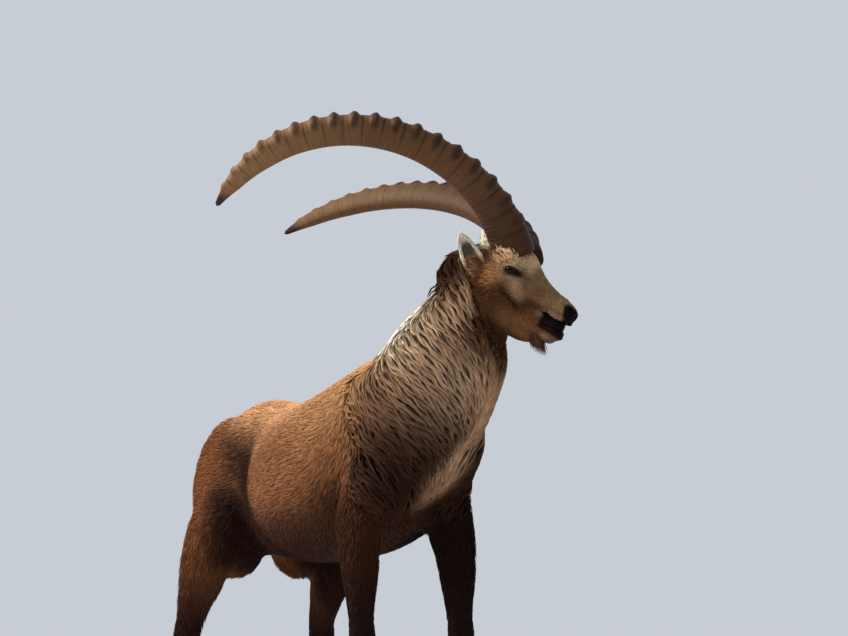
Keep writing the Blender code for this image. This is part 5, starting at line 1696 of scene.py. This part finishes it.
# %% Hooves
hoof, nodes, links, shader = principled("hoof_keratin", 0.5, 0.2)
place = add_node(nodes, "ShaderNodeTexCoord")
stretch = add_node(nodes, "ShaderNodeMapping")
stretch.inputs["Scale"].default_value = (30.0, 30.0, 380.0)
rings = add_node(nodes, "ShaderNodeTexNoise", Scale=1.0, Detail=3.0, Roughness=0.6)
shades = add_node(nodes, "ShaderNodeValToRGB")
shades.color_ramp.elements[0].color = (*linear(20, 16, 15), 1)
shades.color_ramp.elements[1].color = (*linear(48, 40, 35), 1)
shades.color_ramp.elements[0].position = 0.3
shades.color_ramp.elements[1].position = 0.8
relief = add_node(nodes, "ShaderNodeBump", Strength=0.4, Distance=0.0008)
links.new(place.outputs["Object"], stretch.inputs["Vector"])
links.new(stretch.outputs["Vector"], rings.inputs["Vector"])
links.new(rings.outputs["Fac"], shades.inputs["Fac"])
links.new(shades.outputs["Color"], shader.inputs["Base Color"])
links.new(rings.outputs["Fac"], relief.inputs["Height"])
links.new(relief.outputs["Normal"], shader.inputs["Normal"])
for name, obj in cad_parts.items():
    if "claw" in name:
        obj.data.materials.clear()
        obj.data.materials.append(hoof)
        weld = obj.modifiers.new("weld", "WELD")
        weld.merge_threshold = 0.00005
        bevel = obj.modifiers.new("rounded_edges", "BEVEL")
        bevel.width = 0.0018
        bevel.segments = 3
        bevel.limit_method = "ANGLE"
        bevel.angle_limit = math.radians(35)

# %% [markdown]
# ## Floor, light and camera
#
# A pale floor and soft studio light stand in for the place. A large lamp high on the left lights the back and
# the crests of the locks, as daylight does, and a dim one fills the shade. The camera looks from the animal's
# right and in front, from just under the height of its shoulders, with a long lens.

# %% Floor and light
bpy.ops.mesh.primitive_plane_add(size=60, location=(0, 0, -0.0005))
floor = bpy.context.active_object
floor.name = "floor"
floor_finish, nodes, links, shader = principled("pale_floor", 0.85, 0.2)
shader.inputs["Base Color"].default_value = (0.62, 0.63, 0.66, 1)
floor.data.materials.append(floor_finish)

world = bpy.data.worlds.new("soft_sky")
bpy.context.scene.world = world
world.use_nodes = True
world.node_tree.nodes["Background"].inputs["Color"].default_value = (0.82, 0.87, 0.95, 1)
world.node_tree.nodes["Background"].inputs["Strength"].default_value = 0.70


def lamp(name, place, target, size, power, colour):
    data = bpy.data.lights.new(name, "AREA")
    data.shape = "DISK"
    data.size = size
    data.energy = power
    data.color = colour
    made = bpy.data.objects.new(name, data)
    made.location = place
    made.rotation_euler = (Vector(target) - Vector(place)).to_track_quat("-Z", "Y").to_euler()
    bpy.context.scene.collection.objects.link(made)


lamp("sun_side", (-2.0, -3.4, 4.2), (0.0, 0.1, 0.8), 1.2, 420, (1.0, 0.94, 0.84))
lamp("fill", (4.0, -4.0, 1.6), (0.1, 0.1, 0.8), 3.0, 40, (1.0, 0.96, 0.92))
bpy.context.scene.view_settings.view_transform = "Standard"

# %% Camera
CAMERA_AZIMUTH = math.radians(60.0)
CAMERA_ELEVATION = math.radians(-2.5)
CAMERA_DISTANCE = 15.0
PIXELS_PER_METRE = 450.0
FRAME_WIDTH = 848
withers = np.array((WITHERS_X, 0.0, WITHERS_HEIGHT)) + SHIFT
right = np.array((math.cos(CAMERA_AZIMUTH), math.sin(CAMERA_AZIMUTH), 0.0))
back = np.array((math.sin(CAMERA_AZIMUTH) * math.cos(CAMERA_ELEVATION),
                 -math.cos(CAMERA_AZIMUTH) * math.cos(CAMERA_ELEVATION), math.sin(CAMERA_ELEVATION)))
up = np.cross(back, right)
target = withers + right * (32 / PIXELS_PER_METRE) + up * (30 / PIXELS_PER_METRE)
data = bpy.data.cameras.new("camera")
data.sensor_width = 36.0
data.lens = 36.0 * CAMERA_DISTANCE * PIXELS_PER_METRE / FRAME_WIDTH
camera = bpy.data.objects.new("camera", data)
camera.location = target + back * CAMERA_DISTANCE
camera.rotation_euler = Vector(-back).to_track_quat("-Z", "Y").to_euler()
data.clip_end = 200.0
bpy.context.scene.collection.objects.link(camera)
bpy.context.scene.camera = camera
print("camera height", round(float(camera.location.z), 3))
